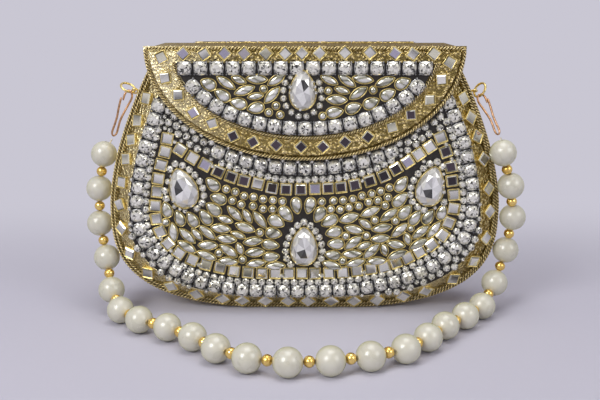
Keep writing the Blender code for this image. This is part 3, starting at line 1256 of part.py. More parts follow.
def build_strand(left, right):
    """Thread with its end loops and gold beads, and the pearls."""
    unit = CASE_HALF_WIDTH
    route = hanging(STRAND_LEFT_SHARES, left[0])
    route += [Vector((x * unit, y * unit, PEARL_RADIUS)) for x, y in STRAND_FRONT_SHARES]
    route += hanging(STRAND_RIGHT_SHARES, right[0])
    line = smooth_line(route, CURVE_STEPS)
    centres = resample([Vector((p.x, p.y, max(p.z, PEARL_RADIUS))) for p in line], PEARL_COUNT)

    loops, ends = [], []
    for centre, (bend, wire) in ((centres[0], left), (centres[-1], right)):
        toward = centre - bend
        toward = (toward - wire * toward.dot(wire)).normalized()
        middle = bend + toward * (END_LOOP_RADIUS - HOOK_WIRE - END_LOOP_WIRE - SEAT_GAP)
        side = toward.cross(wire)
        loops.append(circle(middle, toward, side, END_LOOP_RADIUS, END_LOOP_SEGMENTS))
        ends.append(middle + toward * END_LOOP_RADIUS)

    half = math.sqrt(PEARL_RADIUS ** 2 - PEARL_BORE_RADIUS ** 2)
    stops = [ends[0]]
    pivot = bpy.data.objects.new("handle_pivot", None)
    pivot.location = SWING
    bpy.context.collection.objects.link(pivot)
    mesh = pearl_mesh(half)
    for index, centre in enumerate(centres):
        before = centres[index - 1] if index else ends[0]
        after = centres[index + 1] if index < PEARL_COUNT - 1 else ends[1]
        along = (after - before).normalized()
        pearl = bpy.data.objects.new(f"pearl_{index + 1:02d}", mesh)
        bpy.context.collection.objects.link(pearl)
        pearl.parent = pivot
        pearl.location = centre - SWING
        pearl.rotation_euler = along.to_track_quat("X", "Z").to_euler()
        stops += [centre - along * half, centre + along * half]
    stops.append(ends[1])

    shape = bmesh.new()
    path = beaded_path(stops)
    tube(shape, [place for place, _ in path], [radius for _, radius in path], BEAD_SEGMENTS)
    thread = publish("beaded_thread", shape, "bead_gold", SWING, True)
    for points in loops:
        shape = bmesh.new()
        tube(shape, points, END_LOOP_WIRE, RING_SIDES, True)
        combine(thread, publish("cutter", shape, "bead_gold"), "UNION")


def pearl_mesh(half):
    """A bored pearl about its own middle, its bore along X."""
    start = math.acos(half / PEARL_RADIUS)
    profile = []
    for band in range(PEARL_BANDS + 1):
        turn = start + (math.pi - 2 * start) * band / PEARL_BANDS
        profile.append((PEARL_RADIUS * math.cos(turn), PEARL_RADIUS * math.sin(turn)))
    shape = bmesh.new()
    turned(shape, GROUND, Vector((1.0, 0.0, 0.0)), profile, PEARL_SEGMENTS, True)
    bmesh.ops.recalc_face_normals(shape, faces=shape.faces)
    mesh = bpy.data.meshes.new("pearl")
    shape.to_mesh(mesh)
    shape.free()
    mesh.materials.append(finish("pearl"))
    for face in mesh.polygons:
        face.use_smooth = True
    return mesh


def main():
    """Build every piece of the bag."""
    for body in list(bpy.data.objects):
        bpy.data.objects.remove(body)
    build_case()
    build_flap()
    build_hinge()
    build_case_stones()
    build_flap_stones()
    left = build_side(-1)
    right = build_side(1)
    build_strand(left, right)


main()
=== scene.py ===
"""The stone-set clutch bag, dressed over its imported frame.

Metres, Z up, the stone-set front towards -Y. Each sub-assembly is a class that builds its own meshes
and rides them on the case, the flap or the handle.
"""
from __future__ import annotations

import logging
import math
import random
from collections.abc import Callable, Iterable, Sequence
from dataclasses import dataclass, field, replace
from enum import Enum

import bmesh
import bpy
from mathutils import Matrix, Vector
from mathutils.kdtree import KDTree

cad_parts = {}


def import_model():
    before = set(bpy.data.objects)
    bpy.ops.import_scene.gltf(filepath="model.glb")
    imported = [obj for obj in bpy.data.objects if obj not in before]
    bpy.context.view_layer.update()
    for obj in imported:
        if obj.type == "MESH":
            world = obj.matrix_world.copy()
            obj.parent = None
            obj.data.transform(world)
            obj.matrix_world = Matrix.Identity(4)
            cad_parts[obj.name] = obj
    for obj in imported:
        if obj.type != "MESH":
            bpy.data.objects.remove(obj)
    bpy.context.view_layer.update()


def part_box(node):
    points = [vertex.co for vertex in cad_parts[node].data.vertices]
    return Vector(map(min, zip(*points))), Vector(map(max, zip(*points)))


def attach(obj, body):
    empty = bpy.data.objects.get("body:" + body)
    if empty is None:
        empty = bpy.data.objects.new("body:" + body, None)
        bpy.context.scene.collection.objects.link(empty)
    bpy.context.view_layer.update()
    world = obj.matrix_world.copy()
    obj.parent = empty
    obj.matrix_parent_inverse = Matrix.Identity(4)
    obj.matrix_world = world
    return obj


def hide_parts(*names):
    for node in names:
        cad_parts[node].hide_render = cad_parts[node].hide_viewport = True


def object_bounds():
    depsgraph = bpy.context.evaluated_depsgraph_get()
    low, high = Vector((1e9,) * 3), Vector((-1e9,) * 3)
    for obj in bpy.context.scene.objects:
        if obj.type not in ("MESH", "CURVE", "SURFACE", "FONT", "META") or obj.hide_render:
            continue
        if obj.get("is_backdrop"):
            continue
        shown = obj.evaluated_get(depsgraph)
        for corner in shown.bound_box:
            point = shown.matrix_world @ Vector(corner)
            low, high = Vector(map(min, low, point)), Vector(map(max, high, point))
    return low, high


LOG = logging.getLogger("clutch")
Outline = list[Vector]
Colour = tuple[float, float, float]
Places = tuple[tuple[float, ...], ...]
Link = "float | Sequence[float] | Value"
WHITE: Colour = (1.0, 1.0, 1.0)
AHEAD = Vector((0.0, -1.0, 0.0)).freeze()
CLOSE = 2e-5
FLAP_TOP = 0.1420


class Body(Enum):
    """The rigid bodies of the frame."""

    CASE = "case"
    FLAP = "flap"
    HANDLE = "handle"


class Cut(Enum):
    """The cuts of stone that the bag carries."""

    MARQUISE = "marquise"
    DROP = "drop"
    ROUND = "round"
    SMALL = "small"
    LARGE = "large"
    MIRROR = "mirror"
    CRYSTAL = "crystal"


class Tint(Enum):
    """The tints of the small mirrors."""

    PALE = "pale"
    VIOLET = "violet"
    PLUM = "plum"


# Places read from the photograph, in millimetres across and up; a third number is a turn in degrees

RING_PLACES: Places = (
    (-71.1, 94.7), (-72.4, 87.9), (-74.7, 81.0), (-76.5, 73.6), (-77.2, 66.7), (-78.5, 59.2), (-78.2, 52.2),
    (-76.4, 45.2), (-72.4, 38.6), (-66.7, 33.7), (-59.9, 29.8), (-52.5, 27.1), (-45.1, 25.4), (-37.7, 23.7),
    (-30.2, 22.8), (-22.8, 22.4), (-15.8, 22.3), (-8.4, 22.3), (-1.4, 22.3), (5.5, 22.3), (13.0, 22.4),
    (20.4, 22.9), (27.9, 23.7), (35.3, 24.8), (42.2, 25.9), (48.5, 28.2), (54.9, 30.9), (61.1, 34.2),
    (67.4, 38.1), (73.0, 43.5), (76.0, 50.1), (78.3, 57.6), (78.0, 65.1), (76.7, 72.6), (75.9, 80.0),
    (73.1, 87.9), (70.2, 95.2))
SWAG_PLACES: Places = (
    (-64.6, 88.9), (-58.5, 84.7), (-51.8, 81.0), (-45.1, 77.4), (-38.4, 74.7), (-31.7, 72.6), (-24.4, 71.0),
    (-17.1, 68.9), (-9.8, 68.1), (-2.0, 68.1), (5.3, 68.3), (12.1, 68.6), (18.9, 69.1), (26.2, 70.5),
    (34.0, 72.6), (41.2, 75.2), (47.4, 78.9), (53.5, 82.6), (59.1, 86.6), (64.7, 90.5))
CHAIN_PLACES: Places = (
    (-75.1, 111.8), (-78.0, 103.5), (-80.8, 95.8), (-83.2, 88.0), (-85.0, 80.1), (-86.3, 72.2), (-87.7, 64.7),
    (-88.3, 57.2), (-87.6, 48.5), (-85.2, 40.9), (-81.2, 34.4), (-75.6, 28.9), (-69.3, 24.4), (-62.5, 20.5),
    (-55.3, 17.4), (-47.9, 15.2), (-40.5, 14.0), (-33.0, 13.1), (-25.0, 12.7), (-18.0, 12.5), (-10.0, 12.4),
    (-2.5, 12.4), (5.5, 12.5), (13.5, 12.7), (21.0, 12.9), (28.0, 13.6), (35.4, 15.0), (43.4, 16.7),
    (50.9, 18.3), (58.2, 21.1), (65.1, 24.4), (71.3, 28.3), (77.0, 33.3), (82.6, 38.7), (86.1, 45.3),
    (87.9, 52.9), (88.1, 61.0), (87.7, 69.0), (86.4, 76.4), (84.5, 83.8), (82.7, 91.6), (79.8, 98.9),
    (77.0, 106.1), (73.6, 113.3))
ROW_PLACES: Places = (
    (-74.4, 103.5), (-76.2, 97.8), (-77.9, 91.6), (-79.7, 84.7), (-81.0, 77.9), (-82.2, 72.1), (-83.0, 65.7),
    (-83.6, 59.3), (-83.5, 53.3), (-83.1, 47.9), (-81.2, 42.5), (-78.2, 38.1), (-74.6, 33.7), (-70.5, 29.8),
    (-65.3, 26.5), (-60.0, 23.8), (-54.7, 21.8), (-49.5, 20.1), (-43.1, 18.8), (-36.7, 17.9), (-29.2, 17.4),
    (-21.7, 17.2), (-14.3, 17.1), (-6.8, 17.1), (0.7, 17.1), (8.2, 17.2), (15.7, 17.5), (23.1, 18.2),
    (30.6, 19.2), (38.0, 20.4), (45.5, 22.1), (52.4, 24.0), (58.2, 26.5), (63.9, 29.6), (69.6, 33.4),
    (74.8, 37.5), (79.4, 43.0), (81.8, 49.0), (83.1, 55.5), (83.4, 62.5), (82.6, 69.4), (81.8, 76.3),
    (79.9, 83.7), (78.1, 91.0), (75.8, 97.8), (73.0, 103.5))
BAND_PLACES: Places = (
    (-81.8, 114.1, 15), (-86.3, 102.7, 20), (-89.8, 93.2, 25), (-92.9, 82.6, 20), (-95.5, 70.3, 5),
    (-98.1, 58.9, 25), (-97.6, 45.3, 45), (-91.7, 33.6, 45), (-84.0, 21.9, 35), (-71.8, 14.5, 45),
    (-58.4, 8.9, 45), (-44.9, 6.6, 45), (-34.0, 6.0, 45), (-21.0, 5.5, 45), (-9.6, 4.9, 45), (1.9, 4.9, 45),
    (14.9, 4.9, 45), (27.4, 5.5, 45), (39.3, 7.2, 45), (53.4, 10.0, 45), (65.2, 13.4, 45), (80.2, 19.1, 45),
    (89.0, 28.6, 25), (96.0, 40.3, 60), (98.6, 54.0, 45), (98.0, 67.6, 40), (94.7, 82.6, 35),
    (90.0, 94.3, 45), (85.9, 104.8, 35), (81.9, 115.2, 5))
FLAP_PLACES: Places = (
    (-72.3, 136.7, 25), (-61.2, 138.4, 40), (-50.7, 138.0, 32), (-40.6, 138.4, 45), (-30.6, 138.4, 42),
    (-19.6, 138.5, 45), (-10.0, 138.3, 45), (-1.5, 138.5, 45), (7.5, 138.5, 45), (20.1, 138.7, 45),
    (32.6, 138.7, 42), (45.2, 138.3, -35), (54.2, 138.0, -35), (64.8, 138.4, -38), (73.0, 134.2, -30),
    (69.2, 125.2, 5), (63.5, 115.1, 2), (54.0, 107.5, 5), (44.5, 101.3, 15), (32.3, 96.2, -38),
    (20.6, 93.6, -40), (9.3, 91.0, 45), (-2.0, 91.0, 45), (-14.8, 92.0, 45), (-26.6, 93.6, 30),
    (-36.8, 96.7, 25), (-47.4, 102.9, 18), (-57.0, 108.5, 30), (-64.3, 117.7, 2), (-70.7, 126.2, 8))

# The mirrors that show plum or violet, by their place in the row

RING_PLUM = (33, 34, 35)
SWAG_PLUM, SWAG_VIOLET = (3, 4, 5, 7, 8, 9, 11, 12, 13, 14, 15, 16), (2, 10, 17)
FLAP_PLUM, FLAP_VIOLET = (17, 19, 20, 21, 22, 23, 24, 25), (1, 3, 4, 11, 27)


# Shader arithmetic


def _both(operation: str) -> tuple[Callable[[Value, Link], Value], ...]:
    """Make an arithmetic method and its reflected form.

    Args:
        operation: The Math node's operation.

    Returns:
        The method and its reflected form.
    """

    def plain(self: Value, other: Link) -> Value:
        """The value on the left."""
        return self.shader.add("ShaderNodeMath", {"operation": operation}, {0: self, 1: other})

    def reflected(self: Value, other: Link) -> Value:
        """The value on the right."""
        return self.shader.add("ShaderNodeMath", {"operation": operation}, {0: other, 1: self})

    return plain, reflected


@dataclass(frozen=True)
class Value:
    """A node output that takes part in Python arithmetic."""

    shader: Shader
    socket: bpy.types.NodeSocket

    __add__, __radd__ = _both("ADD")
    __sub__, __rsub__ = _both("SUBTRACT")
    __mul__, __rmul__ = _both("MULTIPLY")
    __pow__, __rpow__ = _both("POWER")

    def between(self, low: float, high: float, start: float = 0.0, end: float = 1.0) -> Value:
        """Spread a range of the value smoothly over another range.

        Args:
            low: The value that gives start.
            high: The value that gives end.
            start: The first result.
            end: The last result.

        Returns:
            The spread value.
        """
        return self.shader.add("ShaderNodeMapRange", {"interpolation_type": "SMOOTHSTEP"},
                               {"Value": self, "From Min": low, "From Max": high, "To Min": start,
                                "To Max": end})


class Shader:
    """The nodes of one material or of the world."""

    def __init__(self, name: str, room: bool = False) -> None:
        """Make an empty material or world.

        Args:
            name: Its name.
            room: True for the world.
        """
        self.owner = bpy.data.worlds.new(name) if room else bpy.data.materials.new(name)
        self.owner.use_nodes = True
        self.tree = self.owner.node_tree
        self.surface = self.tree.nodes["Background" if room else "Principled BSDF"]
        self.target = self.tree.nodes["World Output" if room else "Material Output"].inputs["Surface"]

    def add(self, kind: str, settings: dict[str, object], inputs: dict[int | str, Link],
            output: int | str = 0) -> Value:
        """Add one node.

        Args:
            kind: The node's type.
            settings: Its properties, set first; stops gives a colour ramp's places and colours.
            inputs: What its sockets hold or take.
            output: The output to give back.

        Returns:
            The chosen output.
        """
        node = self.tree.nodes.new(kind)
        for place, colour in settings.pop("stops", ()):
            element = node.color_ramp.elements[1 if place else 0]
            element.position, element.color = place, (*colour, 1.0)
        for key, value in settings.items():
            setattr(node, key, value)
        for key, value in inputs.items():
            self.feed(node.inputs[key], value)
        return Value(self, node.outputs[output])

    def feed(self, socket: bpy.types.NodeSocket, value: Link) -> None:
        """Set a socket or link into it.

        Args:
            socket: The socket.
            value: A number, a colour or a node's output.
        """
        if isinstance(value, Value):
            self.tree.links.new(value.socket, socket)
        elif isinstance(value, (int, float)):
            socket.default_value = value
        else:
            short = len(socket.default_value) == 4 and len(value) == 3
            socket.default_value = (*value, 1.0) if short else value

    def set(self, **sockets: Link) -> Value:
        """Feed the surface's own sockets, named with underscores for spaces, and give its output.

        Args:
            sockets: What each socket holds or takes.

        Returns:
            The surface's output.
        """
        for key, value in sockets.items():
            self.feed(self.surface.inputs[key.replace("_", " ")], value)
        return Value(self, self.surface.outputs[0])

    def place(self, system: str = "Object") -> Value:
        """Coordinates, by default the object's own in metres."""
        return self.add("ShaderNodeTexCoord", {}, {}, system)

    def part(self, axis: str, system: str = "Object") -> Value:
        """One coordinate."""
        return self.add("ShaderNodeSeparateXYZ", {}, {0: self.place(system)}, axis)

    def noise(self, scale: float, detail: float = 3.0, rough: float = 0.55) -> Value:
        """Noise over the object, at so many waves a metre."""
        return self.add("ShaderNodeTexNoise", {}, {"Vector": self.place(), "Scale": scale, "Detail": detail,
                                                   "Roughness": rough})

    def clamped(self, value: Value) -> Value:
        """Keep a value from 0 to 1."""
        return self.add("ShaderNodeClamp", {}, {"Value": value})

    def mix(self, share: Link, first: Link, second: Link, blend: str = "MIX") -> Value:
        """Blend two colours."""
        return self.add("ShaderNodeMix", {"data_type": "RGBA", "blend_type": blend},
                        {0: share, 6: first, 7: second}, 2)

    def with_painted_light(self, colour: Link) -> Value:
        """Multiply a colour by the tone that the mesh carries for each facet, which holds painted reflections
        and shade.
        """
        tone = self.add("ShaderNodeVertexColor", {"layer_name": "tone"}, {}, "Color")
        return self.mix(1.0, colour, tone, "MULTIPLY")

    def ray(self, kind: str) -> Value:
        """1 for one kind of ray."""
        return self.add("ShaderNodeLightPath", {}, {}, f"Is {kind} Ray")

    def show(self, share: Link, first: Value, second: Value) -> Value:
        """Mix two surfaces and show the mix.

        Args:
            share: The second surface's share.
            first: The first surface.
            second: The second surface.

        Returns:
            The mix.
        """
        mixed = self.add("ShaderNodeMixShader", {}, {0: share, 1: first, 2: second}, "Shader")
        self.feed(self.target, mixed)
        return mixed

    def bump(self, height: Value, depth: float, strength: float = 1.0) -> bpy.types.Material:
        """Feed the normal from a height.

        Args:
            height: The height, from 0 to 1.
            depth: The relief's depth in metres.
            strength: The share of it that shows.

        Returns:
            The material.
        """
        self.set(Normal=self.add("ShaderNodeBump", {}, {"Strength": strength, "Distance": depth,
                                                        "Height": height}))
        return self.owner


# Finishes


@dataclass(frozen=True)
class GoldFoil:
    """Embossed antique gold sheet, bright on the crests and dark in the hollows."""

    name: str = "gold_foil"
    crest: Colour = (1.0, 0.87, 0.50)
    hollow: Colour = (0.30, 0.22, 0.07)
    grain: float = 620.0
    relief: float = 0.0007
    slot: str = "gold_foil"
    glance: Colour = (1.0, 0.95, 0.75)
    # The share of the painted highlight at the left.
    highlight_share: float = 0.55

    def make(self) -> bpy.types.Material:
        """Build the material, with a painted highlight towards the left and the foot.

        Returns:
            The material.
        """
        shader = Shader(self.name)
        cells = shader.add("ShaderNodeTexVoronoi", {}, {"Vector": shader.place(), "Scale": self.grain},
                           "Distance")
        fine = shader.noise(self.grain * 2.2, 4.0, 0.6)
        height = (1.0 - cells.between(0.1, 0.75)) * 0.6 + fine * 0.55
        colour = shader.mix(height.between(0.3, 0.85), self.hollow, self.crest)
        broad = shader.noise(38.0, 3.0, 0.5)
        colour = shader.mix(broad.between(0.42, 0.62, 0.0, 0.35), colour, (0.42, 0.32, 0.12))
        blots = shader.noise(210.0, 2.0, 0.5)
        colour = shader.mix(blots.between(0.5, 0.6, 0.0, 0.5), colour, self.hollow)
        # Painted highlight: towards the left and the foot the foil is mixed to pale gold. It stands in for
        # the key lamp's glare on the left and lifts the shade at the foot.
        left = shader.part("X").between(-0.084, -0.03, self.highlight_share, 0.0)
        painted_highlight = shader.clamped(left + shader.part("Z").between(0.008, 0.034, 0.8, 0.0))
        colour = shader.mix(painted_highlight * blots.between(0.42, 0.62, 1.0, 0.6), colour, (1.0, 0.9, 0.58))
        shader.set(Base_Color=colour, Metallic=1.0, Roughness=fine.between(0.3, 0.7, 0.16, 0.38),
                   Specular_Tint=self.glance)
        return shader.bump(height, self.relief)


@dataclass(frozen=True)
class Metal:
    """Plain metal with tarnish in its hollows."""

    name: str
    colour: Colour
    tarnish: Colour
    slot: str
    rough: float = 0.3
    grain: float = 900.0
    with_painted_light: bool = False

    def make(self) -> bpy.types.Material:
        """Build the material.

        Returns:
            The material.
        """
        shader = Shader(self.name)
        patina = shader.noise(self.grain, 4.0, 0.6)
        colour = shader.mix(patina.between(0.4, 0.68), self.colour, self.tarnish)
        # Where asked, the colour is multiplied by the painted shade that the mesh carries.
        shader.set(Base_Color=shader.with_painted_light(colour) if self.with_painted_light else colour, Metallic=1.0,
                   Roughness=patina.between(0.3, 0.75, self.rough, self.rough + 0.16))
        return shader.bump(shader.noise(self.grain * 3.0, 3.0), 0.00006, 0.5)


@dataclass(frozen=True)
class Resin:
    """Black grout between the stones."""

    name: str = "black_resin"
    slot: str = "dark_resin"

    def make(self) -> bpy.types.Material:
        """Build the material.

        Returns:
            The material.
        """
        shader = Shader(self.name)
        dust = shader.noise(900.0, 5.0, 0.65)
        shader.set(Base_Color=shader.mix(dust.between(0.5, 0.72), (0.012, 0.009, 0.007), (0.05, 0.039, 0.03)),
                   Roughness=dust.between(0.3, 0.7, 0.28, 0.6))
        return shader.bump(dust, 0.0003, 0.7)


@dataclass(frozen=True)
class Glass:
    """Foil-backed glass: the facets carry painted reflections and shade in their tone, under a clear gloss.
    """

    name: str
    slot: str
    metal: float = 0.85
    rough: float = 0.07
    clouding: float = 0.12

    def make(self) -> bpy.types.Material:
        """Build the material.

        Returns:
            The material.
        """
        shader = Shader(self.name)
        cloud = shader.noise(1400.0, 3.0, 0.6)
        haze = shader.mix(cloud.between(0.35, 0.7), WHITE, (1.0 - self.clouding,) * 3)
        shader.set(Base_Color=shader.with_painted_light(haze), Metallic=self.metal,
                   Roughness=cloud.between(0.3, 0.75, self.rough, self.rough + 0.1), Coat_Weight=0.6,
                   Coat_Roughness=0.03)
        return shader.owner


@dataclass(frozen=True)
class Nacre:
    """Imitation pearl: ivory with a green-yellow rim and a soft double gloss."""

    name: str = "pearl_nacre"
    slot: str = "pearl"

    def make(self) -> bpy.types.Material:
        """Build the material.

        Returns:
            The material.
        """
        shader = Shader(self.name)
        rim = shader.add("ShaderNodeLayerWeight", {}, {"Blend": 0.42}, "Facing")
        cloud = shader.noise(160.0, 3.0, 0.5)
        body = shader.mix(cloud.between(0.35, 0.65), (0.60, 0.58, 0.475), (0.65, 0.63, 0.53))
        shader.set(Base_Color=shader.mix(rim.between(0.2, 0.9, 0.0, 0.95), body, (0.54, 0.53, 0.29)),
                   Roughness=cloud.between(0.3, 0.7, 0.26, 0.34), Coat_Weight=0.8, Coat_Roughness=0.2,
                   IOR=1.55, Subsurface_Weight=0.12, Subsurface_Scale=0.004,
                   Subsurface_Radius=(1.0, 0.85, 0.6))
        return shader.bump(shader.noise(2600.0, 2.0), 0.00002, 0.35)


@dataclass(frozen=True)
class Cloth:
    """Short-piled dark lining."""

    name: str = "lining_velvet"
    slot: str = "lining_cloth"
    colour: Colour = (0.05, 0.035, 0.045)
    sheen: float = 0.35

    def make(self) -> bpy.types.Material:
        """Build the material.

        Returns:
            The material.
        """
        shader = Shader(self.name)
        pile, brushed = shader.noise(2400.0, 4.0, 0.65), shader.noise(60.0, 3.0, 0.5)
        lift = tuple(2.1 * c for c in self.colour)
        shader.set(Base_Color=shader.mix(brushed.between(0.38, 0.66, 0.1, 0.8), self.colour, lift),
                   Roughness=pile.between(0.3, 0.7, 0.75, 0.95), Sheen_Weight=self.sheen, Sheen_Roughness=0.4)
        return shader.bump(pile, 0.0002, 0.9)


class Finishes:
    """Every finish of the bag, made once and shared."""

    def __init__(self) -> None:
        """Build all the materials."""
        made = (
            GoldFoil(),
            GoldFoil("flap_gold", (0.70, 0.57, 0.30), (0.20, 0.15, 0.05), highlight_share=0.9),
            GoldFoil("gold_plate", (0.82, 0.65, 0.31), (0.46, 0.34, 0.13), 560.0, 0.0005),
            GoldFoil("top_gold", (0.72, 0.56, 0.25), (0.30, 0.22, 0.08), 420.0, 0.0006,
                     glance=(0.42, 0.33, 0.15)),
            Metal("rope_gold", (1.0, 0.83, 0.44), (0.62, 0.47, 0.20), "gold_rope", 0.34, 900.0, True),
            Metal("rim_gold", (0.93, 0.76, 0.33), (0.50, 0.38, 0.12), "gold_foil", 0.26),
            Metal("cup_silver", (0.42, 0.42, 0.43), (0.16, 0.16, 0.17), "steel", 0.28),
            Metal("bare_steel", (0.55, 0.55, 0.56), (0.34, 0.34, 0.35), "steel", 0.3),
            Metal("copper_wire", (0.62, 0.37, 0.22), (0.36, 0.21, 0.12), "copper_wire", 0.26),
            Metal("bright_gold", (0.96, 0.70, 0.24), (0.80, 0.52, 0.13), "bead_gold", 0.15, 130.0),
            Resin(),
            Glass("kundan_glass", "clear_glass", 0.72, 0.1),
            Glass("brilliant_glass", "clear_glass", 0.6, 0.1, 0.25),
            Glass("crystal_glass", "clear_glass", 0.5, 0.06, 0.08),
            Glass("mirror_glass", "mirror_glass", 0.86, 0.02, 0.06),
            Nacre(),
            Cloth(),
            Cloth("thread_silk", "bead_gold", (0.42, 0.38, 0.3), 0.1),
        )
        self.materials = {one.name: one.make() for one in made}
        self.slots = {one.name: one.slot for one in made}

    def dress(self, look: str, *nodes: str) -> None:
        """Give carried-over nodes one of the finishes.

        Args:
            look: The finish.
            nodes: The nodes' names.
        """
        for node in nodes:
            slots = bpy.data.objects[node].data.materials
            slots.clear()
            slots.append(self.materials[look])


# Lines


def around(count: int) -> list[float]:
    """Even turns round a circle."""
    return [2 * math.pi * k / count for k in range(count)]


def heading(turn: float) -> Vector:
    """The way over the front at a turn from level."""
    return Vector((math.cos(turn), 0.0, math.sin(turn)))


def reach_of(line: Sequence[Vector]) -> float:
    """A line's length."""
    return sum((b - a).length for a, b in zip(line, line[1:]))


def ways(line: Sequence[Vector]) -> Outline:
    """The way along a line at each of its points."""
    return [(line[min(k + 1, len(line) - 1)] - line[max(k - 1, 0)]).normalized() for k in range(len(line))]


def upright(line: Iterable[Vector], depth: float) -> Outline:
    """Stand a flat line up at a depth."""
    return [Vector((p.x, depth, p.y)) for p in line]


def in_metres(places: Places) -> Outline:
    """Turn places in millimetres into points, across and up."""
    return [Vector(place[:2]) / 1000 for place in places]


def resample(points: Sequence[Vector], count: int) -> Outline:
    """Space points evenly along a line.

    Args:
        points: The line.
        count: How many points to give.

    Returns:
        The evenly spaced points.
    """
    lengths = [0.0]
    for first, second in zip(points, points[1:]):
        lengths.append(lengths[-1] + (second - first).length)
    even, index = [], 0
    for step in range(count):
        target = lengths[-1] * step / (count - 1)
        while index < len(points) - 2 and lengths[index + 1] < target:
            index += 1
        part = lengths[index + 1] - lengths[index]
        even.append(points[index].lerp(points[index + 1], (target - lengths[index]) / part if part else 0.0))
    return even


def spaced(line: Outline, pitch: float) -> Outline:
    """Space points along a line at about a pitch."""
    return resample(line, round(reach_of(line) / pitch) + 1)


def holds(line: Outline, spot: Vector) -> bool:
    """True where a closed outline holds a place.

    Args:
        line: The outline.
        spot: The place.

    Returns:
        Whether it stands inside.
    """
    inside = False
    for first, second in zip(line, line[1:] + line[:1]):
        if (first.y > spot.y) != (second.y > spot.y):
            if spot.x < first.x + (second.x - first.x) * (spot.y - first.y) / (second.y - first.y):
                inside = not inside
    return inside


@dataclass(frozen=True)
class Profile:
    """Half of a flat outline, from the bottom centre up, that can be moved inwards."""

    half: tuple[Vector, ...]
    bottom_share: float = 1.0
    corner_share: float = 0.0

    def loop(self, inset: float, top: float, count: int) -> Outline:
        """Give the whole line from the top left to the top right.

        Args:
            inset: How far the line moves inwards.
            top: The height at which it is cut.
            count: How many points to give.

        Returns:
            The points, x and height.
        """
        moved: Outline = []
        for index, (point, way) in enumerate(zip(self.half, ways(self.half))):
            along = way if index else Vector((1.0, 0.0))
            outward = Vector((along.y, -along.x))
            share = 1 - (1 - self.bottom_share) * outward.y ** 2
            if outward.y < 0:
                share += self.corner_share * 4 * (outward.x * outward.y) ** 2
            place = point - outward * inset * share
            if not moved or place.x > moved[-1].x or place.y > moved[-1].y:
                moved.append(place)
        kept = [moved[0]]
        for first, second in zip(moved, moved[1:]):
            if second.y >= top:
                kept.append(first.lerp(second, max((top - first.y) / max(second.y - first.y, 1e-9), 0.0)))
                break
            kept.append(second)
        return resample([Vector((-p.x, p.y)) for p in reversed(kept[1:])] + kept, count)


def quarter(half_width: float, drop: float, power: float, steps: int = 60) -> list[tuple[float, float]]:
    """A quarter of a full ellipse, as places across and shares of its drop from the foot up."""
    turns = [math.pi / 2 * step / steps for step in range(steps + 1)]
    return [(half_width * math.sin(turn) ** power, drop * max(math.cos(turn), 0.0) ** power)
            for turn in turns]


def case_profile(bottom_share: float = 1.0, corner_share: float = 0.0) -> Profile:
    """The case's outline: a full rounded bottom and sloping shoulders.

    Args:
        bottom_share: The share of an inset at the bottom.
        corner_share: What it gains at the corners.

    Returns:
        The outline.
    """
    half_width, height, steps, flat, lean = 0.1043, 0.1400, 60, 0.0006, 0.2694
    waist, power = height * 0.407, 2 / 2.9
    points = [Vector((x, max(waist - down - flat, 0.0))) for x, down in quarter(half_width, waist, power)]
    upper = height - waist
    for step in range(1, steps + 1):
        share = step / steps * (1.18 * height - waist) / upper
        points.append(Vector((half_width * (1 - lean * share ** 1.66), waist - flat + upper * share)))
    return Profile(tuple(points), bottom_share, corner_share)


def flap_profile(bottom_share: float = 1.0) -> Profile:
    """The flap's outline: half an ellipse under its straight top."""
    half_width, drop, power = 0.0816, 0.0584, 2 / 2.05
    half = tuple(Vector((x, FLAP_TOP - down)) for x, down in quarter(half_width, drop, power))
    return Profile(half, bottom_share)


# Meshes


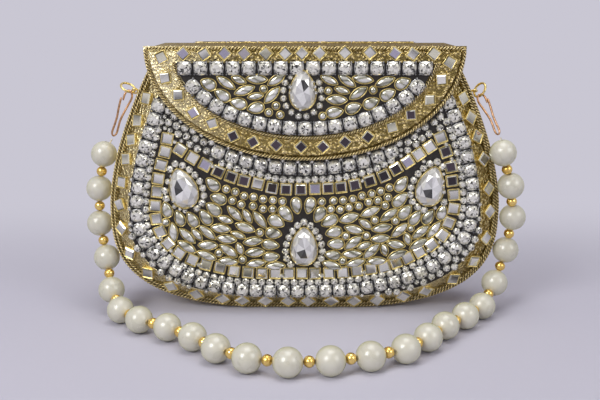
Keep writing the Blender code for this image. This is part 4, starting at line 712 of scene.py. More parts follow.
@dataclass
class Buffer:
    """Corners and faces gathered for one piece, with a tone for each face's corners that holds painted
    reflections and shade.
    """

    points: list[Vector] = field(default_factory=list)
    faces: list[tuple[int, ...]] = field(default_factory=list)
    tones: list[tuple[Colour, ...]] = field(default_factory=list)

    def ring(self, points: Iterable[Vector]) -> list[int]:
        """Add points and give their numbers.

        Args:
            points: The points.

        Returns:
            Their numbers.
        """
        start = len(self.points)
        self.points.extend(points)
        return list(range(start, len(self.points)))

    def face(self, corners: Sequence[int], *tones: Sequence[float]) -> None:
        """Add a face.

        Args:
            corners: Its points.
            tones: Its one tone, or a tone for each corner; without it the face is white.
        """
        self.faces.append(tuple(corners))
        each = tones if len(tones) > 1 else (tones[0] if tones else WHITE,) * len(corners)
        self.tones.append(tuple(tuple(tone) for tone in each))

    def bridge(self, low: Sequence[int], high: Sequence[int], closed: bool = True,
               tones: tuple[Sequence[Colour], Sequence[Colour]] | None = None) -> None:
        """Join two rings of the same count with four-sided faces, with the rings' tones if given.

        Args:
            low: The first ring.
            high: The second ring.
            closed: True for rings without ends.
            tones: The tones at both rings' points.
        """
        for k in range(len(low) if closed else len(low) - 1):
            n = (k + 1) % len(low)
            shades = (tones[0][k], tones[0][n], tones[1][n], tones[1][k]) if tones else ()
            self.face((low[k], low[n], high[n], high[k]), *shades)

    def loft(self, rings: Sequence[Sequence[int]], closed: bool = True) -> None:
        """Join each ring to the next."""
        for low, high in zip(rings, rings[1:]):
            self.bridge(low, high, closed)

    def fan(self, ring: Sequence[int], heart: Vector) -> Iterable[tuple[int, int, int]]:
        """Give the triangles between a ring and a point."""
        tip = self.ring([heart])[0]
        return [(ring[k], ring[(k + 1) % len(ring)], tip) for k in range(len(ring))]

    def cap(self, line: Sequence[int]) -> None:
        """Close a line of an odd count that is the same on both sides with level strips.

        Args:
            line: The line's points, from one side over the middle to the other.
        """
        for k in range(len(line) // 2):
            a, b, c, d = line[k], line[k + 1], line[-2 - k], line[-1 - k]
            self.face((a, b, d) if b == c else (a, b, c, d))

    def turned(self, centre: Vector, way: Vector, section: Iterable[tuple[float, float]], count: int) -> None:
        """Turn a closed solid about an axis.

        Args:
            centre: The middle of the axis.
            way: The axis.
            section: Places along the axis and their radii.
            count: How many points go round.
        """
        across = way.orthogonal().normalized()
        up = way.cross(across)
        rings = [self.ring(centre + way * along + (across * math.cos(a) + up * math.sin(a)) * radius
                           for a in around(count)) for along, radius in section]
        self.loft(rings)
        self.face(rings[0])
        self.face(rings[-1])

    def piece(self, name: str, material: bpy.types.Material, smooth: bool) -> bpy.types.Object:
        """Turn the gathered faces into an object.

        Args:
            name: Its name.
            material: Its material.
            smooth: True for rounded shading.

        Returns:
            The object.
        """
        mesh = bpy.data.meshes.new(name)
        mesh.from_pydata([tuple(p) for p in self.points], [], self.faces)
        colours = mesh.color_attributes.new("tone", "FLOAT_COLOR", "CORNER")
        flat = [part for face in self.tones for tone in face for part in (*tone, 1.0)]
        colours.data.foreach_set("color", flat)
        mesh.materials.append(material)
        mesh.polygons.foreach_set("use_smooth", [smooth] * len(mesh.polygons))
        mesh.validate()
        piece = bpy.data.objects.new(name, mesh)
        bpy.context.scene.collection.objects.link(piece)
        return piece


def welded(mesh: bpy.types.Mesh) -> tuple[list[Vector], list[tuple[int, ...]]]:
    """Give a mesh's points without doubles, and its faces on them.

    Args:
        mesh: The mesh.

    Returns:
        The points, and the faces as numbers of points.
    """
    found: dict[tuple[int, int, int], int] = {}
    points: list[Vector] = []
    index = []
    for vertex in mesh.vertices:
        key = tuple(round(c * 2e5) for c in vertex.co)
        if key not in found:
            found[key] = len(points)
            points.append(vertex.co.copy())
        index.append(found[key])
    return points, [tuple(index[k] for k in face.vertices) for face in mesh.polygons]


def groups(faces: Sequence[tuple[int, ...]],
           joined: Callable[[int, int], bool] | None = None) -> list[list[int]]:
    """Gather faces that share corners, or edges that pass a test.

    Args:
        faces: The faces' corner numbers.
        joined: A test on two faces that share an edge; without it, one shared corner is enough.

    Returns:
        Lists of face numbers.
    """
    parent = list(range(len(faces)))

    def root(k: int) -> int:
        """Find the first face of a face's group.

        Args:
            k: The face.

        Returns:
            The first face.
        """
        while parent[k] != k:
            parent[k] = parent[parent[k]]
            k = parent[k]
        return k

    seen: dict[object, int] = {}
    for number, face in enumerate(faces):
        for key in face if joined is None else map(frozenset, zip(face, face[1:] + face[:1])):
            if key not in seen:
                seen[key] = number
            elif joined is None or joined(seen[key], number):
                parent[root(number)] = root(seen[key])
    gathered: dict[int, list[int]] = {}
    for number in range(len(faces)):
        gathered.setdefault(root(number), []).append(number)
    return list(gathered.values())


# Stones


@dataclass(frozen=True)
class Setting:
    """Where one stone sits: its middle, its long way, its short way and the way out."""

    centre: Vector
    along: Vector
    across: Vector
    out: Vector
    length: float
    width: float
    cut: Cut

    def grown(self, share: float, wide: float = 1.0) -> Setting:
        """The same setting with a larger stone."""
        return replace(self, length=self.length * share, width=self.width * share * wide)

    def at(self, u: float, v: float, lift: float) -> Vector:
        """A point in the stone's own directions."""
        return self.centre + self.along * u + self.across * v + self.out * lift

    def edge(self, inset: float, count: int) -> list[tuple[float, float]]:
        """The stone's outline drawn in by a width.

        Args:
            inset: How far it is drawn in.
            count: How many points to give.

        Returns:
            Pairs along and across.
        """
        long, wide = self.length / 2 - inset, self.width / 2 - inset
        square = {Cut.MIRROR: 0.16, Cut.LARGE: 0.76}.get(self.cut, 1.0)
        pairs = []
        for turn in around(count):
            cosine, sine = math.cos(turn), math.sin(turn)
            if self.cut is Cut.MARQUISE:
                sine = math.copysign((1 - cosine * cosine) ** 0.76, sine)
            elif self.cut in (Cut.DROP, Cut.CRYSTAL):
                sine *= (0.42 + 0.58 * math.sin(turn / 2)) / 0.87
            elif square != 1.0:
                cosine, sine = (math.copysign(abs(part) ** square, part) for part in (cosine, sine))
            pairs.append((long * cosine, wide * sine))
        return pairs

    def loop(self, count: int, inset: float = 0.0, share: float = 1.0, lift: float = 0.0) -> Outline:
        """The stone's outline in space.

        Args:
            count: How many points to give.
            inset: How far it is drawn in.
            share: The share of its size.
            lift: Its height over the ground.

        Returns:
            The points.
        """
        return [self.at(u * share, v * share, lift) for u, v in self.edge(inset, count)]

    def outline(self, count: int, inset: float = 0.0) -> Outline:
        """The stone's outline, across and up."""
        return [Vector((p.x, p.z)) for p in self.loop(count, inset)]

    def reach(self, spot: Vector) -> float:
        """The distance from a place to the stone's outline."""
        return min((p - spot).length for p in self.outline(28))


def lying(spot: Vector, depth: float, along: Vector, size: tuple[float, float], cut: Cut) -> Setting:
    """Set a stone that faces straight ahead.

    Args:
        spot: Its place, across and up.
        depth: The depth of the ground that it stands on.
        along: Its long way.
        size: Its length and width.
        cut: Its cut.

    Returns:
        The setting.
    """
    return Setting(Vector((spot.x, depth, spot.y)), along, along.cross(AHEAD), AHEAD, *size, cut)


def strung(line: Outline, depth: float, size: float, cut: Cut) -> list[Setting]:
    """Set square or round stones along a line, each turned with it."""
    return [lying(spot, depth, Vector((way.x, 0.0, way.y)), (size, size), cut)
            for spot, way in zip(line, ways(line))]


def tint_of(index: int, plum: Iterable[int], violet: Iterable[int]) -> Tint:
    """The tint of the mirror at a place in its row."""
    return Tint.PLUM if index in plum else Tint.VIOLET if index in violet else Tint.PALE


def halo(crystal: Setting, stones: Sequence[Setting], size: float) -> list[Setting]:
    """Ring a crystal with small stones, but for those that would stand in another stone.

    Args:
        crystal: The stone in the middle.
        stones: The stones that are there.
        size: The small stones' size across.

    Returns:
        The settings of the ring.
    """
    wide = crystal.outline(120, -0.55 * size)
    line = spaced(wide + wide[:1], size * 0.98)[:-1]
    near = [one for one in stones if (one.centre - crystal.centre).length < crystal.length * 1.5]
    return [one for one, spot in zip(strung(line, crystal.centre.y, size, Cut.SMALL), line)
            if all(other.reach(spot) > size * 0.3 and not holds(other.outline(24), spot) for other in near)]


def filler(stones: Sequence[Setting], wanted: Callable[[Vector], bool], front: float,
           seed: int) -> list[Setting]:
    """Fill the ground between stones with small round ones, each against its neighbours.

    Args:
        stones: The stones that are there.
        wanted: A test on a place, across and up.
        front: The depth of the bed's face.
        seed: The number that fixes the order.

    Returns:
        The settings of the small stones.
    """
    height, reach, pitch, near, far = 0.145, 0.1, 0.0006, 0.0013, 0.02
    cloud = [p for one in stones for share in (1.0, 0.8, 0.6, 0.4, 0.2) for p in one.loop(20, 0.0, share)]
    tree = KDTree(len(cloud))
    for index, place in enumerate(cloud):
        tree.insert((place.x, place.z, 0.0), index)
    tree.balance()
    chance = random.Random(seed)
    spots = []
    for row in range(int(height / pitch)):
        for column in range(int(-reach / pitch), int(reach / pitch)):
            x, z = column * pitch + chance.uniform(-0.2, 0.2) * pitch, row * pitch
            gap = tree.find((x, z, 0.0))[2]
            if near < gap < far and wanted(Vector((x, z))):
                spots.append((gap, x, z))
    placed: list[tuple[float, float, float]] = []
    for radius in (0.0021, 0.0018, 0.0015, 0.00125):
        for gap, x, z in sorted(spot for spot in spots if spot[0] >= radius):
            if all((x - px) ** 2 + (z - pz) ** 2 >= (radius + other) ** 2 for other, px, pz in placed):
                placed.append((radius, x, z))
    level, up = heading(0.0), Vector((0.0, 0.0, 1.0))
    return [Setting(Vector((x, front, z)), level, up, AHEAD, 2 * radius, 2 * radius, Cut.SMALL)
            for radius, x, z in placed]


@dataclass
class StoneReader:
    """Reads the stones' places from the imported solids."""

    small_height: float = 0.0020
    kundan_height: float = 0.0024
    lean: float = 0.02
    table_height: float = 0.0026
    table_sides: tuple[float, float] = (0.0022, 0.0038)

    def bonded(self, node: str, thickness: float) -> list[Setting]:
        """Read the stones that stand out of a bed of a thickness.

        Args:
            node: The bed's name.
            thickness: The bed's thickness.

        Returns:
            The stones' settings.
        """
        points, faces = welded(bpy.data.objects[node].data)
        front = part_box(node)[1].y - thickness
        raised = [face for face in faces if any(points[k].y < front - CLOSE for k in face)]
        settings = []
        for group in groups(raised):
            corners = {k for number in group for k in raised[number]}
            foot = [points[k] for k in corners if points[k].y > front - CLOSE]
            settings.append(self._setting(foot, front, front - min(points[k].y for k in corners)))
        return settings

    def _setting(self, foot: list[Vector], front: float, height: float) -> Setting:
        """Tell the cut and the directions of a stone from its foot and its height.

        Args:
            foot: The corners of its foot.
            front: The depth of its ground.
            height: Its height.

        Returns:
            Its setting.
        """
        middle = sum(foot, Vector()) / len(foot)
        if len(foot) == 4:
            side = max(foot, key=lambda p: math.atan2(p.z - middle.z, p.x - middle.x)) - middle
            length = side.length * math.sqrt(2)
            along = heading(math.atan2(side.z, side.x) - math.pi / 4)
            return lying(middle.xz, front, along, (length, length),
                         Cut.MIRROR if height < self.small_height - 3e-4 else Cut.LARGE)
        first, last = max(((p, q) for p in foot for q in foot), key=lambda pair: (pair[0] - pair[1]).length)
        length = (first - last).length
        along = (first - last).normalized()
        across = along.cross(AHEAD)
        width = max(abs((p - q).dot(across)) for p in foot for q in foot)
        centre = (first + last) / 2
        lean = sum((p - centre).dot(along) for p in foot) / len(foot) / length
        if lean > self.lean:
            along = -along
        if len(foot) > 6:
            cut, size = Cut.CRYSTAL, (length, width)
        elif width / length > 0.8:
            small = height < (self.small_height + self.kundan_height) / 2
            cut, size = Cut.SMALL if small else Cut.ROUND, (length, length)
        elif abs(lean) > self.lean:
            cut, size = Cut.DROP, (length, width / 0.92)
        else:
            cut, size = Cut.MARQUISE, (length, width / 0.88)
        return lying(centre.xz, front, along, size, cut)

    def chained(self, node: str) -> list[Setting]:
        """Read the large stones of a chain from their tables, which have half their side.

        Args:
            node: The chain's name.

        Returns:
            The stones' settings.
        """
        points, faces = welded(bpy.data.objects[node].data)
        normals = []
        for face in faces:
            a, b, c = (points[k] for k in face[:3])
            normal = (b - a).cross(c - a)
            normals.append(normal.normalized() if normal.length > 1e-12 else Vector())
        settings = []
        for group in groups(faces, lambda m, n: normals[m].dot(normals[n]) > 0.9995):
            corners = {k for number in group for k in faces[number]}
            normal = normals[max(group, key=lambda number: normals[number].length)]
            if len(corners) != 4 or normal.y > -0.99:
                continue
            table = [points[k] for k in corners]
            middle = sum(table, Vector()) / 4
            reach = [(p - middle).length for p in table]
            side = sum(reach) / 4 * math.sqrt(2)
            least, most = self.table_sides
            if not least <= side <= most or max(reach) - min(reach) > side * 0.06:
                continue
            first = table[0] - middle
            along = (first - normal.cross(first)).normalized()
            settings.append(Setting(middle - normal * self.table_height, along, along.cross(normal), normal,
                                    side * 2, side * 2, Cut.LARGE))
        return settings

    def loose(self, node: str) -> Setting:
        """Read one crystal that is a piece of its own.

        Args:
            node: The crystal's name.

        Returns:
            Its setting.
        """
        points, _ = welded(bpy.data.objects[node].data)
        front = max(p.y for p in points)
        return self._setting([p for p in points if p.y > front - CLOSE], front, 0.0)


# Crafts


@dataclass
class Workshop:
    """Makes pieces in the shared finishes for one body."""

    finishes: Finishes
    body: Body

    def make(self, name: str, buffer: Buffer, look: str, nodes: Sequence[str],
             smooth: bool = False) -> bpy.types.Object:
        """Turn gathered faces into a piece with outward faces that rides on the body.

        Args:
            name: The piece's name.
            buffer: The gathered faces.
            look: The finish.
            nodes: The CAD nodes that the piece stands for.
            smooth: True for rounded shading.

        Returns:
            The piece.
        """
        piece = buffer.piece(name, self.finishes.materials[look], smooth)
        shape = bmesh.new()
        shape.from_mesh(piece.data)
        bmesh.ops.recalc_face_normals(shape, faces=shape.faces)
        shape.to_mesh(piece.data)
        shape.free()
        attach(piece, self.body.value)
        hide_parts(*nodes)
        LOG.info("%s: %d faces on %s", name, len(piece.data.polygons), self.body.value)
        return piece


@dataclass
class Jeweller(Workshop):
    """Cuts stones and their rims into shared buffers."""

    seed: int = 0
    rim_size: tuple[float, float] = (0.0005, 0.00125)
    crystal_rim: tuple[float, float] = (0.00045, 0.0016)
    mirror_rim: tuple[float, float] = (0.00042, 0.0012)
    mirror_bevel: float = 0.00034
    mirror_edge: float = 0.0008
    mirror_table: float = 0.0014
    claw: float = 0.00042
    kundan: Buffer = field(default_factory=Buffer)
    rims: Buffer = field(default_factory=Buffer)
    brilliants: Buffer = field(default_factory=Buffer)
    cups: Buffer = field(default_factory=Buffer)
    mirrors: Buffer = field(default_factory=Buffer)
    crystals: Buffer = field(default_factory=Buffer)

    def __post_init__(self) -> None:
        """Fix the scatter of painted tones and of tilts."""
        self.chance = random.Random(self.seed)

    def set_stone(self, one: Setting) -> None:
        """Cut a stone and its rim for its setting.

        Args:
            one: The setting.
        """
        if one.cut in (Cut.MARQUISE, Cut.DROP, Cut.ROUND):
            one = one.grown(1.06)
            self.rim(one, *self.rim_size, 24)
            self.dome(one)
        elif one.cut is Cut.CRYSTAL:
            self.rim(one, *self.crystal_rim, 32)
            self.crystal(one)
        else:
            self.brilliant(one)

    def rim(self, one: Setting, wide: float, high: float, count: int) -> None:
        """Add the thin gold rim round a stone.

        Args:
            one: The stone's setting.
            wide: The rim's width.
            high: The rim's height.
            count: How many points go round.
        """
        self.rims.loft([self.rims.ring(one.loop(count, inset * wide, 1.0, lift * high))
                        for inset, lift in ((0.0, 0.0), (-0.05, 0.75), (0.25, 1.0), (0.7, 0.97), (1.0, 0.6))])

    def dome(self, one: Setting) -> None:
        """Add a smooth foiled dome with painted shade: dark round its foot, pale over the crown, with one
        dark streak that is a painted reflection.

        Args:
            one: The stone's setting.
        """
        count, top, foot, inner = 24, 0.0023, 0.0006, 0.00038
        pick = self.chance.uniform
        down = heading(pick(-0.7, 0.7) - math.pi / 2)
        level, depth, middle, spread = pick(0.76, 1.0), pick(0.4, 0.9), pick(-0.5, 0.3), pick(0.18, 0.42)
        room = one.width / 2 - inner
        rows, tones = [], []
        for reach in (1.0, 0.92, 0.82, 0.7, 0.54, 0.36, 0.16):
            ring = one.loop(count, inner, reach, foot + (top - foot) * math.sqrt(max(1 - reach * reach, 0.0)))
            rows.append(self.kundan.ring(ring))
            tones.append([])
            for way in ((p - one.centre).dot(down) / room for p in ring):
                # Painted shade and reflection: darker towards the foot, and a dark streak across the crown
                # for the dark room that the glass reflects; darker tones turn olive.
                shade = 1.0 - 0.74 * max(0.0, (reach - 0.5) / 0.5) ** 1.2
                shade -= depth * math.exp(-((way - middle) / spread) ** 2) * (1 - reach * 0.3)
                shade = min(max(shade * level, 0.07), 1.0)
                tones[-1].append((shade, shade * 0.99, shade * (0.93 if shade > 0.6 else 0.78)))
        for k in range(len(rows) - 1):
            self.kundan.bridge(rows[k], rows[k + 1], True, (tones[k], tones[k + 1]))
        for k, corners in enumerate(self.kundan.fan(rows[-1], one.at(0.0, 0.0, top))):
            self.kundan.face(corners, tones[-1][k], tones[-1][(k + 1) % count], tones[-1][k])

    def spark(self) -> Colour:
        """A facet's painted reflection: mostly white glints, some grey, a few nearly black.

        Returns:
            The tone.
        """
        pick = self.chance.random()
        span = (0.04, 0.16) if pick < 0.14 else (0.45, 0.75) if pick < 0.4 else (0.9, 1.0)
        shade = self.chance.uniform(*span)
        return shade, shade * 0.98, shade * 0.88

    def brilliant(self, one: Setting) -> None:
        """Add a brilliant cut stone in its cup, a large one with claws.

        Args:
            one: The stone's setting.
        """
        large = one.cut is Cut.LARGE
        sides, size, top, girdle = (12, 0.96, 0.0026, 0.0012) if large else (8, 1.0, 0.0020, 0.0009)
        self.cups.loft([self.cups.ring(one.loop(sides, 0.0, share, lift))
                        for share, lift in ((1.0, 0.0), (1.0, girdle * 0.8), (0.9, girdle))])
        rows = [self.brilliants.ring(one.loop(sides * 2, 0.0, share * size, lift)[offset::2])
                for share, lift, offset in ((0.97, girdle, 0), (0.78, (girdle + top) / 2, 1), (0.52, top, 0))]
        for low, high, twist in zip(rows, rows[1:], (False, True)):
            for k in range(sides):
                follow = (k + 1) % sides
                near, far = (follow, k) if twist else (k, follow)
                self.brilliants.face((low[k], low[follow], high[near]), self.spark())
                self.brilliants.face((low[far], high[far], high[near]), self.spark())
        for corners in self.brilliants.fan(rows[-1], one.at(0.0, 0.0, top * 1.01)):
            self.brilliants.face(corners, self.spark())
        for turn in (45, 135, 225, 315) if large else ():
            self.prong(one, math.radians(turn), one.length * 0.60, self.claw, top * 0.86)

    def prong(self, one: Setting, turn: float, reach: float, thick: float, high: float) -> None:
        """Add one claw at a corner of a cup.

        Args:
            one: The stone's setting.
            turn: The corner's turn round the stone.
            reach: How far it stands from the middle.
            thick: Its radius.
            high: Its height.
        """
        u, v = reach * math.cos(turn), reach * math.sin(turn)
        rows = [self.cups.ring(one.at(u * lean + thick * share * math.cos(a),
                                      v * lean + thick * share * math.sin(a), lift) for a in around(6))
                for share, lift, lean in ((1.0, 0.0, 1.0), (1.0, high * 0.85, 0.97), (0.6, high, 0.92))]
        self.cups.loft(rows)
        self.cups.face(rows[-1])

    def mirror(self, one: Setting, tint: Tint = Tint.PALE) -> None:
        """Add a bevelled square mirror in its gold frame, with painted reflections on its bevels and table,
        tilted a little as it was glued by hand.

        Args:
            one: The mirror's setting.
            tint: The tint of its table.
        """
        self.rim(one, *self.mirror_rim, 32)
        lean_u, lean_v = self.chance.gauss(0.0, 0.05), self.chance.gauss(0.0, 0.05)
        half = one.length / 2
        corners = [(-1, -1), (1, -1), (1, 1), (-1, 1)]
        edge, table = (self.mirrors.ring(one.at(u * reach, v * reach,
                                                lift + u * reach * lean_u + v * reach * lean_v)
                                         for u, v in corners)
                       for reach, lift in ((half - self.mirror_bevel, self.mirror_edge),
                                           (half * 0.64, self.mirror_table)))
        # Painted reflections: one bevel is white, the others greyer or dark.
        bright = self.chance.randrange(4)
        painted_bevel_shades = (1.0, 0.62, 0.36, 0.86) if tint is Tint.PALE else (1.0, 0.9, 0.34, 0.6)
        for k in range(4):
            follow = (k + 1) % 4
            shade = painted_bevel_shades[(k - bright) % 4] * self.chance.uniform(0.85, 1.0)
            self.mirrors.face((edge[k], edge[follow], table[follow], table[k]),
                              (shade, shade * 0.985, shade * 0.86))
        if tint is not Tint.PALE:
            span, shares = {Tint.PLUM: ((0.02, 0.07), (1.2, 0.85, 1.05)),
                            Tint.VIOLET: ((0.38, 0.55), (0.96, 0.9, 1.1))}[tint]
            level = self.chance.uniform(*span)
            self.mirrors.face(table, [level * share for share in shares])
            return
        # Painted reflection: a pale table is lighter on one half and darker on the other.
        painted_split, upper = self.chance.uniform(0.0, 0.6), self.chance.random() < 0.6
        crown = self.chance.uniform(0.78, 0.96)
        levels = [crown if ((one.along * u + one.across * v).z > 0.0) is upper else crown - painted_split
                  for u, v in corners]
        self.mirrors.face(table, *((level, level * 0.985, level * 0.9) for level in levels))

    def crystal(self, one: Setting) -> None:
        """Add a large drop crystal: a girdle, eight large crown facets and a table with a dark kite, all with
        painted reflections.

        Args:
            one: The crystal's setting.
        """
        sides, low, high, top, inner = 8, 0.0012, 0.0034, 0.0044, 0.0004
        kite = 7 if one.centre.z > 0.1 else 5 if one.centre.x < -0.03 else 3
        girdle, crown, table = (self.crystals.ring(one.loop(sides * 4, inner, share, lift)[skip])
                                for share, lift, skip in ((1.0, low, slice(0, None, 2)),
                                                          (0.8, high, slice(0, None, 4)),
                                                          (0.58, top, slice(2, None, 4))))
        heart = self.crystals.ring([one.at(-one.length * 0.03, one.width * 0.03, top)])[0]
        for k in range(sides):
            n, double = (k + 1) % sides, 2 * k
            point, wing = girdle[double + 1], girdle[(double + 2) % (2 * sides)]
            for row, corners in enumerate(((girdle[double], point, crown[k]), (point, wing, crown[n]),
                                           (point, crown[n], crown[k]), (crown[k], crown[n], table[k]),
                                           (crown[n], table[n], table[k]), (table[k], table[n], heart))):
                self.crystals.face(corners, self.flash(k, row, kite))

    def flash(self, side: int, row: int, kite: int) -> Colour:
        """A crystal facet's painted reflection, by its side and row: white and silver, with a dark kite in
        the table.

        Args:
            side: The facet's side.
            row: Its row, from the girdle to the table.
            kite: The side where the kite starts.

        Returns:
            The tone.
        """
        # Painted reflections for each row of facets, from the girdle to the table.
        rows = ((0.95, 0.5, 0.8, 0.45, 1.0, 0.6, 0.9, 0.5), (0.6, 1.0, 0.5, 0.9, 0.55, 0.95, 0.6, 1.0),
                (1.0, 0.8, 0.95, 0.7, 1.0, 0.85, 0.95, 0.75), (1.0, 0.85, 0.6, 1.0, 0.75, 1.0, 0.7, 1.0),
                (0.8, 1.0, 0.9, 0.7, 1.0, 0.65, 1.0, 0.9), (0.06, 0.11, 0.95, 0.7, 1.0, 1.0, 0.85, 0.98))
        shade = rows[row][(side - kite) % 8] * self.chance.uniform(0.78, 1.0)
        return shade, shade * 0.995, shade * 0.965

    def publish(self, *nodes: str) -> None:
        """Turn the buffers into pieces that stand for CAD nodes.

        Args:
            nodes: The nodes' names.
        """
        for buffer, name, look, smooth in ((self.kundan, "kundan_stones", "kundan_glass", True),
                                           (self.rims, "stone_rims", "rim_gold", True),
                                           (self.brilliants, "rhinestones", "brilliant_glass", False),
                                           (self.cups, "stone_cups", "cup_silver", False),
                                           (self.mirrors, "mirror_squares", "mirror_glass", False),
                                           (self.crystals, "drop_crystals", "crystal_glass", False)):
            self.make(f"{self.body.value}_{name}", buffer, look, nodes, smooth)


@dataclass
class SheetMetal(Workshop):
    """Formed sheets, beds and twisted ropes."""

    def dish(self, name: str, rows: Sequence[tuple[Outline, float]], thickness: float, look: str, node: str,
             closed: bool = False) -> bpy.types.Object:
        """Form a sheet from nested lines, the last one closed by a flat face.

        Args:
            name: The piece's name.
            rows: Lines and their depths, from the edge inwards.
            thickness: The sheet's thickness, to the back if above zero.
            look: The finish.
            node: The CAD node that it stands for.
            closed: True where the sheet has its slope along the top too.

        Returns:
            The piece.
        """
        buffer = Buffer()
        front, back = ([buffer.ring(upright(line, depth + shift)) for line, depth in rows]
                       for shift in (0.0, thickness))
        for rings in (front, back):
            buffer.loft(rings, closed)
            buffer.cap(rings[-1])
        buffer.bridge(front[0], back[0], closed)
        if not closed:
            edge, far = ([ring[0] for ring in rings] + [ring[-1] for ring in reversed(rings)]
                         for rings in (front, back))
            buffer.bridge(edge, far, False)
        return self.make(name, buffer, look, [node])

    def bed(self, name: str, edge: Outline, back: float, thickness: float, node: str) -> None:
        """Pour a flat bed of black resin inside a line.

        Args:
            name: The piece's name.
            edge: The line.
            back: The depth of its back.
            thickness: Its thickness.
            node: The CAD node that it stands for.
        """
        buffer = Buffer()
        rings = [buffer.ring(upright(edge, depth)) for depth in (back, back - thickness)]
        buffer.loft(rings)
        for ring in rings:
            buffer.cap(ring)
        self.make(name, buffer, "black_resin", [node])

    def rope(self, node: str, path: Sequence[Vector], radius: float, closed: bool = False) -> None:
        """Twist two wires round a path that lies flat to the front, with painted shade where the wires meet.

        Args:
            node: The CAD node that it stands for.
            path: The rope's middle line.
            radius: The rope's radius.
            closed: True for a rope without ends.
        """
        sides, back = 8, Vector((0.0, 1.0, 0.0))
        turns = round(reach_of(path) / (radius * 3.7))
        steps = turns * 12
        line = resample(path, steps + 1)
        buffer, strand = Buffer(), radius * 0.58
        # Painted shade: each wire is dark on the side where it meets the other and bright on its outside.
        tones = [(0.18 + 0.78 * (0.5 + 0.5 * math.cos(a)) ** 1.8,) * 3 for a in around(sides)]
        for phase in (0.0, math.pi):
            rings = []
            for k, (point, along) in enumerate(zip(line, ways(line))):
                side = along.cross(back).normalized()
                turn = 2 * math.pi * turns * k / steps + phase
                spoke = side * math.cos(turn) + back * math.sin(turn)
                swing = (back * math.cos(turn) - side * math.sin(turn)).normalized()
                centre = point + spoke * (radius - strand)
                rings.append(buffer.ring(centre + (spoke * math.cos(a) + swing * math.sin(a)) * strand
                                         for a in around(sides)))
            if closed:
                rings.append(rings[0])
            for low, high in zip(rings, rings[1:]):
                buffer.bridge(low, high, True, (tones, tones))
            if not closed:
                buffer.face(rings[0])
                buffer.face(rings[-1])
        self.make(f"{node}_twist", buffer, "rope_gold", [node], True)

    def round_off(self, node: str, look: str, swell: float) -> None:
        """Give a coarse wire solid a rounder copy of itself.

        Args:
            node: The solid's name.
            look: The finish.
            swell: How far its faces move out, since the rounding draws them in.
        """
        points, faces = welded(bpy.data.objects[node].data)
        buffer = Buffer(points)
        for face in faces:
            buffer.face(face)
        piece = self.make(f"{node}_round", buffer, look, [node], True)
        shape = bmesh.new()
        shape.from_mesh(piece.data)
        bmesh.ops.join_triangles(shape, faces=shape.faces, angle_face_threshold=3.2,
                                 angle_shape_threshold=3.2)
        bmesh.ops.recalc_face_normals(shape, faces=shape.faces)
        shape.normal_update()
        for vertex in shape.verts:
            vertex.co += vertex.normal * swell
        shape.to_mesh(piece.data)
        shape.free()
        smooth = piece.modifiers.new("smooth", "SUBSURF")
        smooth.levels = smooth.render_levels = 2


@dataclass
class Tailor(SheetMetal):
    """Cuts the velvet linings and lays them against the metal."""

    cloth: float = 0.0005

    def panel(self, node: str, profile: Profile, inset: float, inward: float, under: str) -> None:
        """Lay a flat lining with rolled edges.

        Args:
            node: The CAD node that it stands for.
            profile: The outline that it follows.
            inset: How far it stays inside the outline.
            inward: 1 where the inside is behind it, -1 where it is in front.
            under: Not used; names the piece that it lies against.
        """
        low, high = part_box(node)
        ground, room = low.y if inward > 0 else high.y, high.y - low.y
        roll = ((0.0, 0.3), (0.0004, 0.62), (0.0012, 0.8), (0.0035, 0.86), (0.009, 0.95), (0.02, 1.0))
        rows = [(profile.loop(inset + step, high.z - step, 161), ground + inward * room * rise)
                for step, rise in roll]
        piece = self.dish(f"{node}_cloth", rows, -inward * self.cloth * 0.4, "lining_velvet", node, True)

    def side(self, node: str, profile: Profile, inset: float, under: str) -> None:
        """Lay the long strip that lines the band.

        Args:
            node: The CAD node that it stands for.
            profile: The outline that it follows.
            inset: How far it stays inside the outline.
            under: Not used; names the piece that it lies against.
        """
        low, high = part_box(node)
        buffer, count, back, half, face, roll = Buffer(), 241, 0.0001, 0.0004, 0.0007, 0.0006
        lines = {rise: profile.loop(inset + rise, high.z, count) for rise in (back, half, face)}
        section = ((back, low.y), (back, high.y), (half, high.y), (face, high.y - roll), (face, low.y + roll),
                   (half, low.y))
        rings = [buffer.ring(Vector((lines[rise][k].x, depth, lines[rise][k].y)) for rise, depth in section)
                 for k in range(count)]
        buffer.loft(rings)
        buffer.face(rings[0])
        buffer.face(rings[-1])
        piece = self.make(f"{node}_cloth", buffer, "lining_velvet", [node])


# Sub-assemblies


